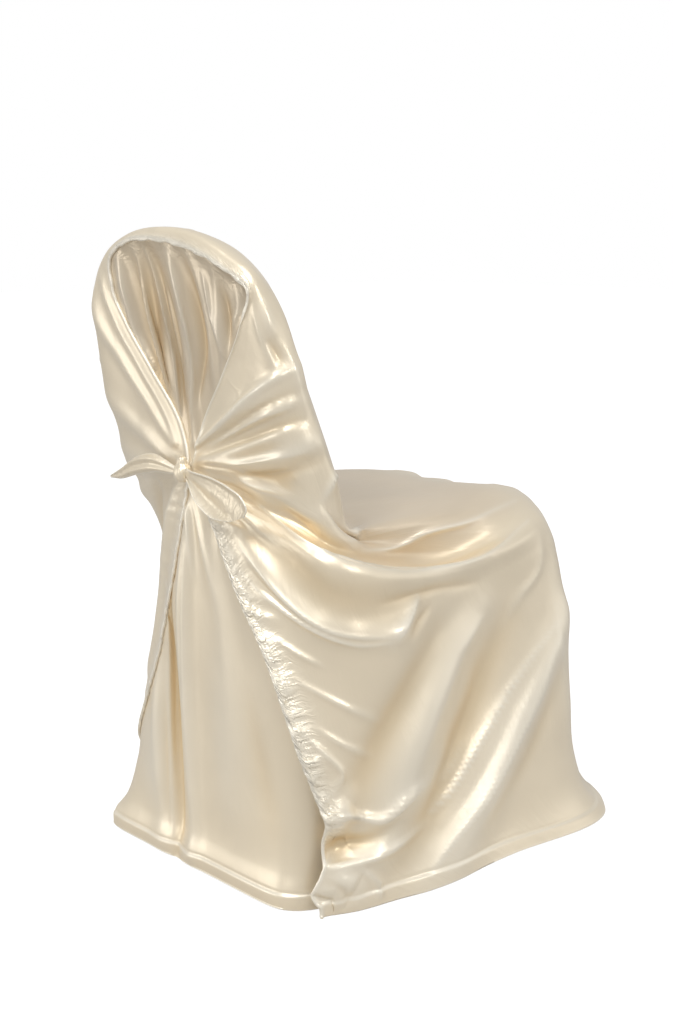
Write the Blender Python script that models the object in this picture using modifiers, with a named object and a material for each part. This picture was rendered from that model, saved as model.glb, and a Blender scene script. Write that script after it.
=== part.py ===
"""Self-tie satin chair cover with its sash, modelled as it hangs over a banquet chair.

Metres, +Z up. The sizes are given in a floor frame: X across, with 0 on the centre plane, -Y towards
the front of the seat, and Z from the floor. An empty then brings the underside of the hood's crown,
which the cover hangs from, to the origin.
"""

import math

import bmesh
import bpy
import numpy as np
from mathutils.bvhtree import BVHTree

# Driving dimensions
CLOTH_THICK = 0.0016
HEM_LIFT = 0.0012
CORNER_ROUND = 0.045
CORNER_FLARE_SHARE = 0.3
WING_SWELL = 0.04
HOLD_POINT = (0.0, 0.012, 0.9175)

KNOT_SEGMENTS = 20
KNOT_RINGS = 14
KNOT_CENTRE = (-0.0205, 0.0225, 0.588)
KNOT_RADII = (0.0135, 0.0110, 0.0145)
KNOT_RIDGES = 6
KNOT_RIDGE_SHARE = 0.07
KNOT_TWIST = 1.6
KNOT_NECK_SHRINK = 0.45
KNOT_NECK_RISE = 0.55
TAIL_CREASE = 0.35
FOLD_SAMPLES = 8
CROWN_SMOOTH_FROM = 0.875
CROWN_SMOOTH_ROUNDS = 2

# The cover's sections, from the hem up, over the seat and up the hood to its crown.
# Columns: name, Y and Z of the front line, half width of the front.
FRONT_SECTIONS = [
    ("hem", -0.664, 0.000, 0.256),
    ("hem rise", -0.636, 0.035, 0.238),
    ("ankle", -0.616, 0.100, 0.222),
    ("shin", -0.612, 0.200, 0.214),
    ("calf", -0.607, 0.300, 0.211),
    ("knee", -0.597, 0.380, 0.209),
    ("thigh", -0.584, 0.440, 0.207),
    ("lower swag", -0.570, 0.476, 0.205),
    ("swag", -0.550, 0.500, 0.200),
    ("seat edge", -0.506, 0.516, 0.195),
    ("seat middle", -0.360, 0.521, 0.190),
    ("seat rear", -0.210, 0.513, 0.190),
    ("seat crease", -0.142, 0.512, 0.203),
    ("lumbar", -0.117, 0.580, 0.205),
    ("mid back", -0.090, 0.665, 0.196),
    ("upper back", -0.068, 0.750, 0.172),
    ("shoulder", -0.053, 0.812, 0.146),
    ("rim corner", -0.044, 0.850, 0.118),
    ("rim side", -0.035, 0.879, 0.086),
    ("rim top", -0.025, 0.899, 0.046),
    ("crown", -0.014, 0.910, 0.000),
]

# Each side's line of these sections, as distances out from the centre plane.
# Columns: side X and Z, rear corner X, Y and Z, rear edge X, Y and Z.
RIGHT_SECTIONS = [
    (0.284, 0.000, 0.272, -0.090, 0.000, 0.254, -0.026, 0.000),
    (0.272, 0.035, 0.268, -0.090, 0.035, 0.255, -0.030, 0.035),
    (0.262, 0.100, 0.268, -0.092, 0.090, 0.257, -0.032, 0.088),
    (0.252, 0.190, 0.267, -0.088, 0.170, 0.255, -0.024, 0.152),
    (0.245, 0.270, 0.264, -0.080, 0.238, 0.240, -0.002, 0.228),
    (0.241, 0.330, 0.260, -0.072, 0.296, 0.214, 0.004, 0.290),
    (0.240, 0.374, 0.256, -0.062, 0.348, 0.180, 0.008, 0.358),
    (0.243, 0.412, 0.252, -0.048, 0.410, 0.126, 0.010, 0.432),
    (0.246, 0.446, 0.242, -0.036, 0.492, 0.066, 0.007, 0.524),
    (0.211, 0.445, 0.228, -0.044, 0.510, 0.036, 0.003, 0.566),
    (0.190, 0.482, 0.218, -0.056, 0.528, 0.028, 0.004, 0.577),
    (0.194, 0.500, 0.217, -0.056, 0.550, 0.024, 0.004, 0.583),
    (0.210, 0.524, 0.214, -0.046, 0.575, 0.023, 0.004, 0.589),
    (0.222, 0.600, 0.212, -0.030, 0.620, 0.024, 0.004, 0.597),
    (0.217, 0.672, 0.208, -0.004, 0.684, 0.036, 0.002, 0.640),
    (0.208, 0.756, 0.204, 0.014, 0.760, 0.110, 0.018, 0.729),
    (0.194, 0.816, 0.196, 0.026, 0.814, 0.160, 0.031, 0.787),
    (0.170, 0.854, 0.189, 0.031, 0.852, 0.187, 0.037, 0.843),
    (0.130, 0.887, 0.142, 0.038, 0.884, 0.146, 0.043, 0.869),
    (0.070, 0.910, 0.078, 0.044, 0.908, 0.076, 0.048, 0.895),
    (0.000, 0.919, 0.000, 0.045, 0.917, 0.000, 0.050, 0.906),
]
LEFT_SECTIONS = [
    (0.262, 0.000, 0.258, -0.160, 0.000, 0.254, -0.100, 0.000),
    (0.256, 0.035, 0.248, -0.150, 0.035, 0.242, -0.096, 0.035),
    (0.246, 0.100, 0.228, -0.130, 0.100, 0.204, -0.068, 0.100),
    (0.236, 0.200, 0.208, -0.084, 0.186, 0.150, -0.010, 0.166),
    (0.228, 0.300, 0.208, -0.082, 0.288, 0.104, 0.002, 0.244),
    (0.222, 0.380, 0.205, -0.100, 0.368, 0.068, 0.005, 0.318),
    (0.218, 0.440, 0.201, -0.110, 0.428, 0.046, 0.007, 0.378),
    (0.217, 0.474, 0.200, -0.100, 0.470, 0.026, 0.006, 0.446),
    (0.214, 0.496, 0.201, -0.078, 0.504, 0.008, 0.005, 0.512),
    (0.205, 0.506, 0.204, -0.064, 0.528, -0.003, 0.003, 0.556),
    (0.198, 0.510, 0.208, -0.056, 0.546, -0.007, 0.004, 0.574),
    (0.204, 0.514, 0.211, -0.050, 0.562, -0.009, 0.004, 0.582),
    (0.213, 0.538, 0.212, -0.042, 0.582, -0.009, 0.004, 0.589),
    (0.220, 0.600, 0.213, -0.030, 0.622, -0.009, 0.004, 0.597),
    (0.216, 0.672, 0.209, -0.004, 0.684, 0.005, 0.002, 0.638),
    (0.206, 0.756, 0.203, 0.014, 0.760, 0.060, 0.017, 0.726),
    (0.192, 0.816, 0.193, 0.026, 0.814, 0.098, 0.030, 0.786),
    (0.167, 0.854, 0.174, 0.032, 0.850, 0.121, 0.038, 0.838),
    (0.128, 0.887, 0.136, 0.038, 0.884, 0.118, 0.043, 0.876),
    (0.069, 0.910, 0.074, 0.043, 0.909, 0.072, 0.048, 0.901),
    (0.000, 0.919, 0.000, 0.045, 0.917, 0.000, 0.050, 0.906),
]

# How finely the cover is divided, between stations round it and between sections up it.
HALF_STEPS = [5, 5, 6, 5, 2, 3]
STATION_STEPS = HALF_STEPS + HALF_STEPS[::-1]
SECTION_STEPS = [1, 2, 3, 3, 3, 2, 3, 4, 4, 3, 2, 2, 2, 3, 3, 3, 2, 2, 2, 2]

# Folds of the cover. Stations count round it, from 0 at the left rear edge over 6 at the front line to
# 12 at the right rear edge, and sections count up it from 0 at the hem.
# Columns: name, path as (station, section), width at its start and end, height (below 0 for a trough).
COVER_FOLDS = [
    ("swag", [(11.9, 9.6), (11.0, 9.1), (10.3, 8.6), (9.7, 8.1), (9.0, 7.9), (8.2, 8.2)], 0.01, 0.015, 0.014),
    ("swag valley", [(11.6, 10.2), (10.6, 9.6), (9.8, 9.0), (9.1, 8.8), (8.5, 8.9)], 0.016, 0.022, -0.014),
    ("under swag", [(11.4, 8.6), (10.7, 7.9), (10.0, 7.4), (9.4, 7.2)], 0.016, 0.034, -0.010),
    ("lower swag", [(11.5, 8.0), (10.8, 7.2), (10.3, 6.9), (9.9, 6.7), (9.6, 6.5)], 0.012, 0.020, 0.014),
    ("lower swag tip", [(9.7, 6.5), (9.5, 6.8), (9.4, 7.3)], 0.014, 0.018, 0.008),
    ("wing top ridge", [(12.0, 13.7), (11.2, 14.1), (9.9, 14.3), (9.0, 14.8)], 0.007, 0.020, 0.011),
    ("wing top trough", [(12.0, 13.4), (10.8, 13.8), (9.8, 14.0)], 0.006, 0.016, -0.008),
    ("wing high ridge", [(12.0, 13.0), (10.7, 13.4), (9.2, 13.7)], 0.007, 0.022, 0.011),
    ("wing mid trough", [(12.0, 12.7), (10.9, 13.0), (9.8, 13.1)], 0.006, 0.018, -0.008),
    ("wing mid ridge", [(12.0, 12.4), (10.9, 12.6), (9.8, 12.5)], 0.007, 0.022, 0.011),
    ("wing low trough", [(12.0, 12.0), (11.0, 12.1), (9.9, 12.0)], 0.006, 0.018, -0.008),
    ("wing low ridge", [(12.0, 11.5), (11.1, 11.6), (10.4, 11.5), (9.6, 11.6)], 0.007, 0.022, 0.011),
    ("wing base ridge", [(12.0, 10.7), (11.1, 10.7), (10.2, 10.5), (9.3, 10.7)], 0.007, 0.020, 0.010),
    ("skirt band", [(8.1, 4.6), (8.6, 3.3), (8.95, 2.3), (9.3, 1.3), (9.6, 0.3)], 0.030, 0.046, 0.020),
    ("skirt band trough", [(8.7, 5.0), (9.05, 3.6), (9.4, 2.4), (9.7, 1.2)], 0.026, 0.032, -0.014),
    ("skirt soft ridge", [(8.9, 5.9), (9.4, 4.2), (9.8, 2.5), (10.1, 0.8)], 0.028, 0.038, 0.015),
    ("skirt soft trough", [(9.3, 5.9), (9.8, 3.9), (10.15, 2.3)], 0.026, 0.032, -0.011),
    ("front corner", [(8.0, 7.6), (8.1, 4.0), (7.9, 0.4)], 0.018, 0.026, 0.006),
    ("bunch top", [(12.1, 2.9), (11.4, 2.7), (10.6, 2.9)], 0.018, 0.022, 0.016),
    ("bunch hollow", [(12.0, 2.1), (11.3, 2.0), (10.8, 2.1)], 0.012, 0.016, -0.012),
    ("bunch foot", [(12.1, 1.0), (11.4, 1.2), (10.7, 0.8)], 0.022, 0.026, 0.018),
    ("left front corner", [(4.0, 7.6), (3.9, 4.0), (4.1, 0.4)], 0.018, 0.026, 0.006),
    ("left outer", [(1.1, 17.0), (0.6, 16.1), (0.4, 15.3), (0.3, 14.6), (0.2, 13.6)], 0.010, 0.008, 0.009),
    ("left wing side", [(2.0, 16.2), (1.3, 15.3), (0.8, 14.6), (0.3, 13.5)], 0.018, 0.008, 0.009),
    ("left wing mid", [(0.0, 12.6), (0.9, 13.3), (1.9, 13.9)], 0.007, 0.022, 0.011),
    ("left wing low", [(0.0, 12.0), (1.0, 12.1), (2.2, 12.2)], 0.007, 0.022, 0.011),
    ("left wing base", [(0.0, 11.2), (1.0, 11.1), (2.3, 10.6)], 0.007, 0.022, 0.010),
    ("left drape ridge", [(0.2, 9.8), (0.5, 8.0), (0.8, 6.0), (0.7, 4.2)], 0.008, 0.018, 0.010),
    ("left drape trough", [(0.9, 9.6), (1.2, 7.4), (1.3, 5.4)], 0.010, 0.018, -0.006),
    ("left swag", [(0.8, 9.9), (2.0, 8.8), (3.0, 8.0), (3.8, 8.4)], 0.012, 0.024, 0.013),
    ("left swag valley", [(1.4, 10.2), (2.2, 9.7), (3.0, 8.9), (3.6, 9.0)], 0.018, 0.030, -0.012),
    ("left skirt band", [(3.9, 4.8), (3.5, 3.2), (3.1, 1.9), (2.7, 0.4)], 0.030, 0.046, 0.018),
    ("left skirt trough", [(3.5, 5.2), (3.2, 3.8), (2.9, 2.4)], 0.026, 0.034, -0.012),
    ("left skirt ridge", [(3.2, 6.2), (2.7, 4.4), (2.3, 2.6), (2.1, 0.6)], 0.028, 0.040, 0.014),
    ("front left fold", [(5.3, 8.8), (5.2, 5.0), (5.0, 0.3)], 0.020, 0.042, 0.014),
    ("front left trough", [(5.7, 8.0), (5.6, 5.0), (5.5, 0.5)], 0.020, 0.038, -0.008),
    ("front middle fold", [(5.9, 8.7), (6.0, 4.5), (6.15, 0.3)], 0.020, 0.044, 0.013),
    ("front right trough", [(6.4, 8.0), (6.4, 5.0), (6.6, 0.5)], 0.020, 0.038, -0.008),
    ("front right fold", [(6.7, 8.8), (6.8, 5.0), (7.0, 0.3)], 0.020, 0.042, 0.014),
]

# Puckers along the elastic in the right rear edge: from which section to which, how many, and their size.
PUCKER_SECTIONS = (2.6, 8.2)
PUCKER_COUNT = 9
PUCKER_STATIONS = (12.1, 11.5, 10.9)
PUCKER_WIDTH = 0.009
PUCKER_HEIGHT = 0.009
PUCKER_SLANT = 0.25

# The rear panel. Columns: Z and Y of its middle, half width and forward turn of its left side edge,
# the same of its right side edge, how much lower than the middle the side edges are, and how
# sharply the side edges turn.
PANEL_SECTIONS = [
    (0.000, 0.004, 0.256, 0.100, 0.243, 0.085, 0.000, 14),
    (0.020, 0.006, 0.251, 0.100, 0.243, 0.085, 0.000, 13),
    (0.050, -0.002, 0.231, 0.095, 0.242, 0.085, 0.000, 12),
    (0.120, -0.005, 0.200, 0.085, 0.241, 0.085, 0.000, 10),
    (0.220, -0.004, 0.172, 0.062, 0.237, 0.080, 0.000, 6),
    (0.320, -0.001, 0.170, 0.066, 0.218, 0.050, 0.000, 3.5),
    (0.420, 0.000, 0.165, 0.070, 0.185, 0.045, 0.000, 3),
    (0.520, -0.004, 0.165, 0.054, 0.160, 0.036, 0.000, 3),
    (0.588, -0.014, 0.165, 0.026, 0.160, 0.022, 0.000, 3),
    (0.660, -0.002, 0.165, 0.014, 0.165, 0.014, 0.000, 3),
    (0.740, 0.013, 0.165, 0.012, 0.168, 0.012, 0.000, 4),
    (0.810, 0.027, 0.160, 0.012, 0.172, 0.012, 0.004, 4),
    (0.860, 0.035, 0.158, 0.012, 0.174, 0.014, 0.025, 4),
    (0.892, 0.039, 0.156, 0.012, 0.172, 0.016, 0.047, 4),
    (0.9145, 0.042, 0.154, 0.012, 0.170, 0.016, 0.0635, 4),
]
PANEL_COLUMNS = 28
PANEL_STEPS = 2
PANEL_DROP_SHARPNESS = 2.5

# The panel is tucked under the cover's two wings, above the height where these turn round to the back:
# how many stations each wing has, the gap kept to it, where round a point it is looked for across and up,
# and from how far forward.
TUCK_HEIGHT = 0.09
WING_STATIONS = 2
TUCK_GAP = 0.0045
TUCK_ACROSS = (-0.008, 0.0, 0.008)
TUCK_UP = (-0.018, -0.009, 0.0, 0.009, 0.018)
TUCK_START = -0.3

# Folds of the rear panel. Columns: name, path as (X, Z), width at its start and end, height.
PANEL_FOLDS = [
    ("gather 1", [(-0.120, 0.870), (-0.115, 0.760), (-0.090, 0.680)], 0.010, 0.012, 0.006),
    ("gather 2", [(-0.070, 0.895), (-0.090, 0.800), (-0.080, 0.680)], 0.010, 0.012, 0.007),
    ("gather 3", [(-0.030, 0.900), (-0.035, 0.800), (-0.022, 0.630)], 0.010, 0.009, 0.007),
    ("dark trough", [(0.020, 0.900), (0.010, 0.780), (-0.005, 0.640)], 0.013, 0.010, -0.008),
    ("gather 4", [(0.052, 0.895), (0.042, 0.790), (0.012, 0.640)], 0.010, 0.009, 0.007),
    ("gather 5", [(0.095, 0.880), (0.085, 0.780), (0.040, 0.670)], 0.010, 0.009, 0.006),
    ("pleat right", [(-0.010, 0.540), (0.005, 0.380), (0.008, 0.200), (-0.002, 0.020)], 0.010, 0.018, 0.013),
    ("centre pleat", [(0.004, 0.540), (0.040, 0.380), (0.046, 0.200), (0.036, 0.010)], 0.008, 0.012, -0.014),
    ("pleat left", [(0.040, 0.420), (0.078, 0.300), (0.084, 0.160), (0.076, 0.020)], 0.012, 0.022, 0.008),
    ("right soft fold", [(-0.060, 0.500), (-0.090, 0.300), (-0.110, 0.080)], 0.016, 0.034, 0.005),
]

# The sash's tails. Columns: X, Y and Z of the upper edge, the same of the lower edge, and how far the
# middle stands out.
LEFT_TAIL_SECTIONS = [
    (-0.0071, 0.0255, 0.595, -0.0071, 0.0255, 0.584, 0.002),
    (0.0315, 0.0325, 0.609, 0.0315, 0.0305, 0.583, 0.009),
    (0.0705, 0.0335, 0.602, 0.0775, 0.0315, 0.574, 0.009),
    (0.1135, 0.0315, 0.581, 0.1205, 0.0305, 0.563, 0.005),
    (0.1495, 0.0285, 0.565, 0.1495, 0.0285, 0.561, 0.001),
]
RIGHT_TAIL_SECTIONS = [
    (-0.0342, 0.0245, 0.594, -0.0338, 0.0245, 0.582, 0.002),
    (-0.0765, 0.0365, 0.598, -0.0605, 0.0345, 0.574, 0.010),
    (-0.1225, 0.0395, 0.598, -0.0805, 0.0375, 0.561, 0.017),
    (-0.1605, 0.0385, 0.589, -0.0945, 0.0375, 0.551, 0.017),
    (-0.1845, 0.0345, 0.571, -0.1085, 0.0345, 0.544, 0.008),
]
TAIL_COLUMNS = 8
TAIL_STEPS = 4

COVER_COLOUR = (0.77, 0.66, 0.50, 1.0)
SASH_COLOUR = (0.80, 0.69, 0.51, 1.0)


def satin(name, colour):
    """Shiny satin in one colour."""
    material = bpy.data.materials.new(name)
    material.use_nodes = True
    shader = material.node_tree.nodes["Principled BSDF"]
    shader.inputs["Base Color"].default_value = colour
    shader.inputs["Roughness"].default_value = 0.35
    shader.inputs["Metallic"].default_value = 0.0
    return material


def smooth_curve(points, steps, before=None, after=None):
    """Points along a smooth curve through the given ones, with steps[i] pieces in gap i.

    Rows of points are carried together: points has the shape (points, rows, 3).
    """
    first = 2 * points[0] - points[1] if before is None else before
    last = 2 * points[-1] - points[-2] if after is None else after
    full = np.concatenate([first[None], points, last[None]])
    gaps = np.linalg.norm(np.diff(full, axis=0), axis=-1, keepdims=True) + 1e-6
    slopes = np.diff(full, axis=0) / gaps
    tangents = (slopes[:-1] * gaps[1:] + slopes[1:] * gaps[:-1]) / (gaps[:-1] + gaps[1:])
    result = []
    for i, count in enumerate(steps):
        length = gaps[i + 1]
        for step in range(count):
            t = step / count
            result.append(
                (2 * t**3 - 3 * t**2 + 1) * points[i]
                + (t**3 - 2 * t**2 + t) * length * tangents[i]
                + (3 * t**2 - 2 * t**3) * points[i + 1]
                + (t**3 - t**2) * length * tangents[i + 1]
            )
    result.append(points[-1])
    return np.array(result)


def side_stations(front, side, sign):
    """The stations of one section on one side, from beside the front line to the rear edge."""
    _, front_y, front_z, front_half = front
    side_x, side_z, rear_x, rear_y, rear_z, edge_x, edge_y, edge_z = side
    turn = min(CORNER_ROUND, (rear_y - front_y) / 4, front_half / 2)
    flare = CORNER_FLARE_SHARE * (side_x - front_half)
    corner_in = (front_half - turn, front_y, front_z)
    corner_out = (front_half + flare, front_y + turn, (3 * front_z + side_z) / 4)
    middle = (side_x, (front_y + rear_y) / 2, side_z)
    rear = (rear_x, rear_y, rear_z)
    swell = WING_SWELL * abs(rear_x - edge_x)
    wing = ((rear_x + edge_x) / 2, (rear_y + edge_y) / 2 + swell, (rear_z + edge_z) / 2)
    edge = (edge_x, edge_y, edge_z)
    return [(sign * x, y, z) for x, y, z in (corner_in, corner_out, middle, rear, wing, edge)]


def cover_net():
    """The cover's net of stations: one row a section, from the left rear edge to the right one."""
    rows = []
    for front, right, left in zip(FRONT_SECTIONS, RIGHT_SECTIONS, LEFT_SECTIONS):
        front_line = (0.0, front[1], front[2])
        rows.append(side_stations(front, left, 1)[::-1] + [front_line] + side_stations(front, right, -1))
    return np.array(rows)


def cover_surface(station_steps=STATION_STEPS, section_steps=SECTION_STEPS):
    """The cover's points as rows up it and columns round it."""
    net = cover_net()
    round_it = smooth_curve(net.transpose(1, 0, 2), station_steps).transpose(1, 0, 2)
    return smooth_curve(round_it, section_steps, after=round_it[-2][::-1])


def fold_path(path):
    """A dense line through a fold's few points."""
    return smooth_curve(np.array(path, float)[:, None, :], [FOLD_SAMPLES] * (len(path) - 1))[:, 0]


def point_at(grid, station, section):
    """The point of the cover at a place given in stations and sections."""
    column_of = np.concatenate([[0], np.cumsum(STATION_STEPS)])
    row_of = np.concatenate([[0], np.cumsum(SECTION_STEPS)])
    column = float(np.interp(station, range(len(column_of)), column_of))
    row = float(np.interp(section, range(len(row_of)), row_of))
    j = min(int(column), grid.shape[1] - 2)
    i = min(int(row), grid.shape[0] - 2)
    across = column - j
    up = row - i
    low = grid[i, j] * (1 - across) + grid[i, j + 1] * across
    high = grid[i + 1, j] * (1 - across) + grid[i + 1, j + 1] * across
    return low * (1 - up) + high * up


def fold_height(points, line, start_width, end_width, height):
    """How far a fold lifts each of the points: full along its middle, and fading at both ends."""
    apart = np.linalg.norm(points[:, None, :] - line[None, :, :], axis=2)
    nearest = apart.argmin(axis=1)
    along = nearest / (len(line) - 1)
    width = start_width + (end_width - start_width) * along
    strength = np.sin(np.pi * (0.12 + 0.76 * along))
    return height * strength * np.exp(-((apart[np.arange(len(points)), nearest] / width) ** 2))


def outward(grid):
    """The direction out of the cover at each point of a grid."""
    across = np.gradient(grid, axis=1)
    up = np.gradient(grid, axis=0)
    normal = np.cross(up, across)
    return normal / (np.linalg.norm(normal, axis=-1, keepdims=True) + 1e-12)


def puckers():
    """Short ridges that run in from the elastic edge."""
    low, high = PUCKER_SECTIONS
    folds = []
    for i in range(PUCKER_COUNT):
        section = low + (high - low) * i / (PUCKER_COUNT - 1)
        slant = PUCKER_SLANT * math.cos(2.3 * i)
        path = [(PUCKER_STATIONS[0], section), (PUCKER_STATIONS[1], section + slant)]
        path.append((PUCKER_STATIONS[2], section + 0.5 * slant))
        height = PUCKER_HEIGHT * (1 + 0.3 * math.sin(4.1 * i))
        folds.append(("pucker", path, PUCKER_WIDTH, PUCKER_WIDTH, height))
    return folds


def folded_cover():
    """The cover's surface with its folds raised."""
    grid = cover_surface()
    points = grid.reshape(-1, 3)
    lift = np.zeros(len(points))
    for _, path, start_width, end_width, height in COVER_FOLDS + puckers():
        line = np.array([point_at(grid, station, section) for station, section in fold_path(path)])
        lift += fold_height(points, line, start_width, end_width, height)
    folded = grid + outward(grid) * lift.reshape(grid.shape[:2])[..., None]
    folded[..., 2] = np.maximum(folded[..., 2], HEM_LIFT)
    return folded


def grid_object(name, grid, material, close_top=False):
    """A sheet with thickness from a grid of points."""
    rows, columns = grid.shape[:2]
    mesh = bpy.data.meshes.new(name)
    shape = bmesh.new()
    points = [[shape.verts.new(point) for point in row] for row in grid]
    for i in range(rows - 1):
        for j in range(columns - 1):
            corners = (points[i][j], points[i][j + 1], points[i + 1][j + 1], points[i + 1][j])
            shape.faces.new(corners)
    if close_top:
        bmesh.ops.remove_doubles(shape, verts=points[-1], dist=0.0001)
        high = [point for point in shape.verts if point.co.z > CROWN_SMOOTH_FROM]
        inner = [point for point in high if not point.is_boundary]
        every_way = {"use_axis_x": True, "use_axis_y": True, "use_axis_z": True}
        for _ in range(CROWN_SMOOTH_ROUNDS):
            bmesh.ops.smooth_vert(shape, verts=inner, factor=0.5, **every_way)
    shape.to_mesh(mesh)
    shape.free()
    mesh.shade_smooth()
    mesh.materials.append(material)
    sheet = bpy.data.objects.new(name, mesh)
    thickness = sheet.modifiers.new("Cloth thickness", "SOLIDIFY")
    thickness.thickness = CLOTH_THICK
    thickness.offset = -1.0
    return sheet


def cover_body(grid):
    """The cover: one cloth from the hem over the seat and the hood, open at the back."""
    return grid_object("cover_body", grid, satin("cover satin", COVER_COLOUR), close_top=True)


def panel_surface():
    """The rear panel's points as rows up it, from its left edge to its right edge."""
    net = []
    for z, y, left_half, left_turn, right_half, right_turn, drop, sharpness in PANEL_SECTIONS:
        row = []
        for i in range(PANEL_COLUMNS + 1):
            across = 1 - 2 * i / PANEL_COLUMNS
            half = left_half if across > 0 else right_half
            turn = left_turn if across > 0 else right_turn
            forward = turn * abs(across) ** sharpness
            lower = drop * abs(across) ** PANEL_DROP_SHARPNESS
            row.append((half * across, y - forward, z - lower))
        net.append(row)
    return smooth_curve(np.array(net), [PANEL_STEPS] * (len(net) - 1))


def wing_tree(grid):
    """The cover's two wings, from the rear edges round to the rear corners."""
    rows, columns = grid.shape[:2]
    width = sum(STATION_STEPS[:WING_STATIONS])
    wings = [j for j in range(columns - 1) if j < width or j >= columns - 1 - width]
    faces = []
    for i in range(rows - 1):
        for j in wings:
            first = i * columns + j
            faces.append((first, first + 1, first + columns + 1, first + columns))
    return BVHTree.FromPolygons(grid.reshape(-1, 3).tolist(), faces)


def tucked_under(grid, wings):
    """The panel's points, moved forward where they would touch the wings that lie over them."""
    around = [(x, z) for x in TUCK_ACROSS for z in TUCK_UP]
    for point in grid.reshape(-1, 3):
        if point[2] <= TUCK_HEIGHT:
            continue
        for x, z in around:
            hit = wings.ray_cast((point[0] + x, TUCK_START, point[2] + z), (0, 1, 0))[0]
            if hit:
                point[1] = min(point[1], hit.y - TUCK_GAP)
    return grid


def rear_panel(cover_grid):
    """The panel that hangs from the rim at the back, gathered there and pleated at its middle."""
    grid = panel_surface()
    points = grid.reshape(-1, 3)
    lift = np.zeros(len(points))
    for _, path, start_width, end_width, height in PANEL_FOLDS:
        line = fold_path([(x, 0.0, z) for x, z in path])
        lift += fold_height(points * (1, 0, 1), line, start_width, end_width, height)
    grid[..., 1] += lift.reshape(grid.shape[:2])
    grid = tucked_under(grid, wing_tree(cover_grid))
    grid[..., 2] = np.maximum(grid[..., 2], HEM_LIFT)
    return grid_object("back_panel", grid, satin("panel satin", COVER_COLOUR))


def sash_tail(name, sections):
    """A free end of the sash: a cupped strip that opens out from the knot."""
    net = []
    for upper_x, upper_y, upper_z, lower_x, lower_y, lower_z, bulge in sections:
        upper = np.array((upper_x, upper_y, upper_z))
        lower = np.array((lower_x, lower_y, lower_z))
        row = []
        for i in range(TAIL_COLUMNS + 1):
            share = i / TAIL_COLUMNS
            out = bulge * (math.sin(math.pi * share) + TAIL_CREASE * math.sin(3 * math.pi * share))
            row.append(upper + (lower - upper) * share + np.array((0.0, out, 0.0)))
        net.append(row)
    grid = smooth_curve(np.array(net), [TAIL_STEPS] * (len(net) - 1))
    return grid_object(name, grid, satin("sash satin", SASH_COLOUR))


def sash_knot():
    """The knot: a ball of wrapped cloth, ridged across, with the gathered neck above it."""
    mesh = bpy.data.meshes.new("sash_knot")
    shape = bmesh.new()
    bmesh.ops.create_uvsphere(shape, u_segments=KNOT_SEGMENTS, v_segments=KNOT_RINGS, radius=1.0)
    for vertex in shape.verts:
        turn = math.atan2(vertex.co.y, vertex.co.x)
        swell = 1 + KNOT_RIDGE_SHARE * math.cos(KNOT_RIDGES * turn + KNOT_TWIST * vertex.co.z)
        neck = max(0.0, vertex.co.z) ** 4
        across = swell * (1 - KNOT_NECK_SHRINK * neck)
        vertex.co.x = KNOT_CENTRE[0] + KNOT_RADII[0] * vertex.co.x * across
        vertex.co.y = KNOT_CENTRE[1] + KNOT_RADII[1] * vertex.co.y * across
        vertex.co.z = KNOT_CENTRE[2] + KNOT_RADII[2] * vertex.co.z * (1 + KNOT_NECK_RISE * neck)
    shape.to_mesh(mesh)
    shape.free()
    mesh.shade_smooth()
    mesh.materials.append(satin("knot satin", SASH_COLOUR))
    return bpy.data.objects.new("sash_knot", mesh)


def main():
    for old in list(bpy.data.objects):
        bpy.data.objects.remove(old, do_unlink=True)
    pieces = bpy.data.collections.new("Chair cover with sash")
    bpy.context.scene.collection.children.link(pieces)
    hold = bpy.data.objects.new("hold_point", None)
    hold.location = [-value for value in HOLD_POINT]
    pieces.objects.link(hold)
    left_tail = sash_tail("sash_tail_left", LEFT_TAIL_SECTIONS)
    right_tail = sash_tail("sash_tail_right", RIGHT_TAIL_SECTIONS)
    cover_grid = folded_cover()
    for piece in [cover_body(cover_grid), rear_panel(cover_grid), sash_knot(), left_tail, right_tail]:
        piece.parent = hold
        pieces.objects.link(piece)


main()
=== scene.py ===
"""Looks of the self-tie satin chair cover with its sash.

Metres. The tables give places in the floor frame: X across, with 0 on the centre plane, -Y towards the
front of the seat, and Z from the floor. HOLD_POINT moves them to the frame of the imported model.
The cloth repeats the solids' sections and main folds on a finer grid, and adds the creases that show in
the photograph, whose paths are given in its pixels and laid on the cloth through its camera.
"""

import math

import bmesh
import bpy
import numpy as np
from mathutils import Matrix, Vector, kdtree


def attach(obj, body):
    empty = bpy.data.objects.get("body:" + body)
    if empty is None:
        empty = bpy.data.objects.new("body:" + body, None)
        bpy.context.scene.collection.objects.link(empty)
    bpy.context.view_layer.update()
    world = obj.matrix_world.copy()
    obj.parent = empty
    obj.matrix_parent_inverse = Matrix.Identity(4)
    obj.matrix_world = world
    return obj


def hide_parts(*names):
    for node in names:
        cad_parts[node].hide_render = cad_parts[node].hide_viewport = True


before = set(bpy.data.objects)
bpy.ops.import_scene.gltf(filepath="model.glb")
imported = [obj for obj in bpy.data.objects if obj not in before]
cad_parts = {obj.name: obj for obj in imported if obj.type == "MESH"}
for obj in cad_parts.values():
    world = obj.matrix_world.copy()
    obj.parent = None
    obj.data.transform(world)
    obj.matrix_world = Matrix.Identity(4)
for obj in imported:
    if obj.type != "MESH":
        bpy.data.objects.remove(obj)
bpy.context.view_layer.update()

HOLD_POINT = np.array((0.0, 0.012, 0.9175))

# The photograph's camera, in the floor frame: its place, direction in degrees, and lens in pixels.
CAMERA_PLACE = np.array((-1.695, 1.225, 0.91))
CAMERA_AZIMUTH = 228.4
CAMERA_PITCH = 10.17
LENS_PX = 1505.0
IMAGE_SIZE = (673, 1010)
SENSOR_MM = 36.0

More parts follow.
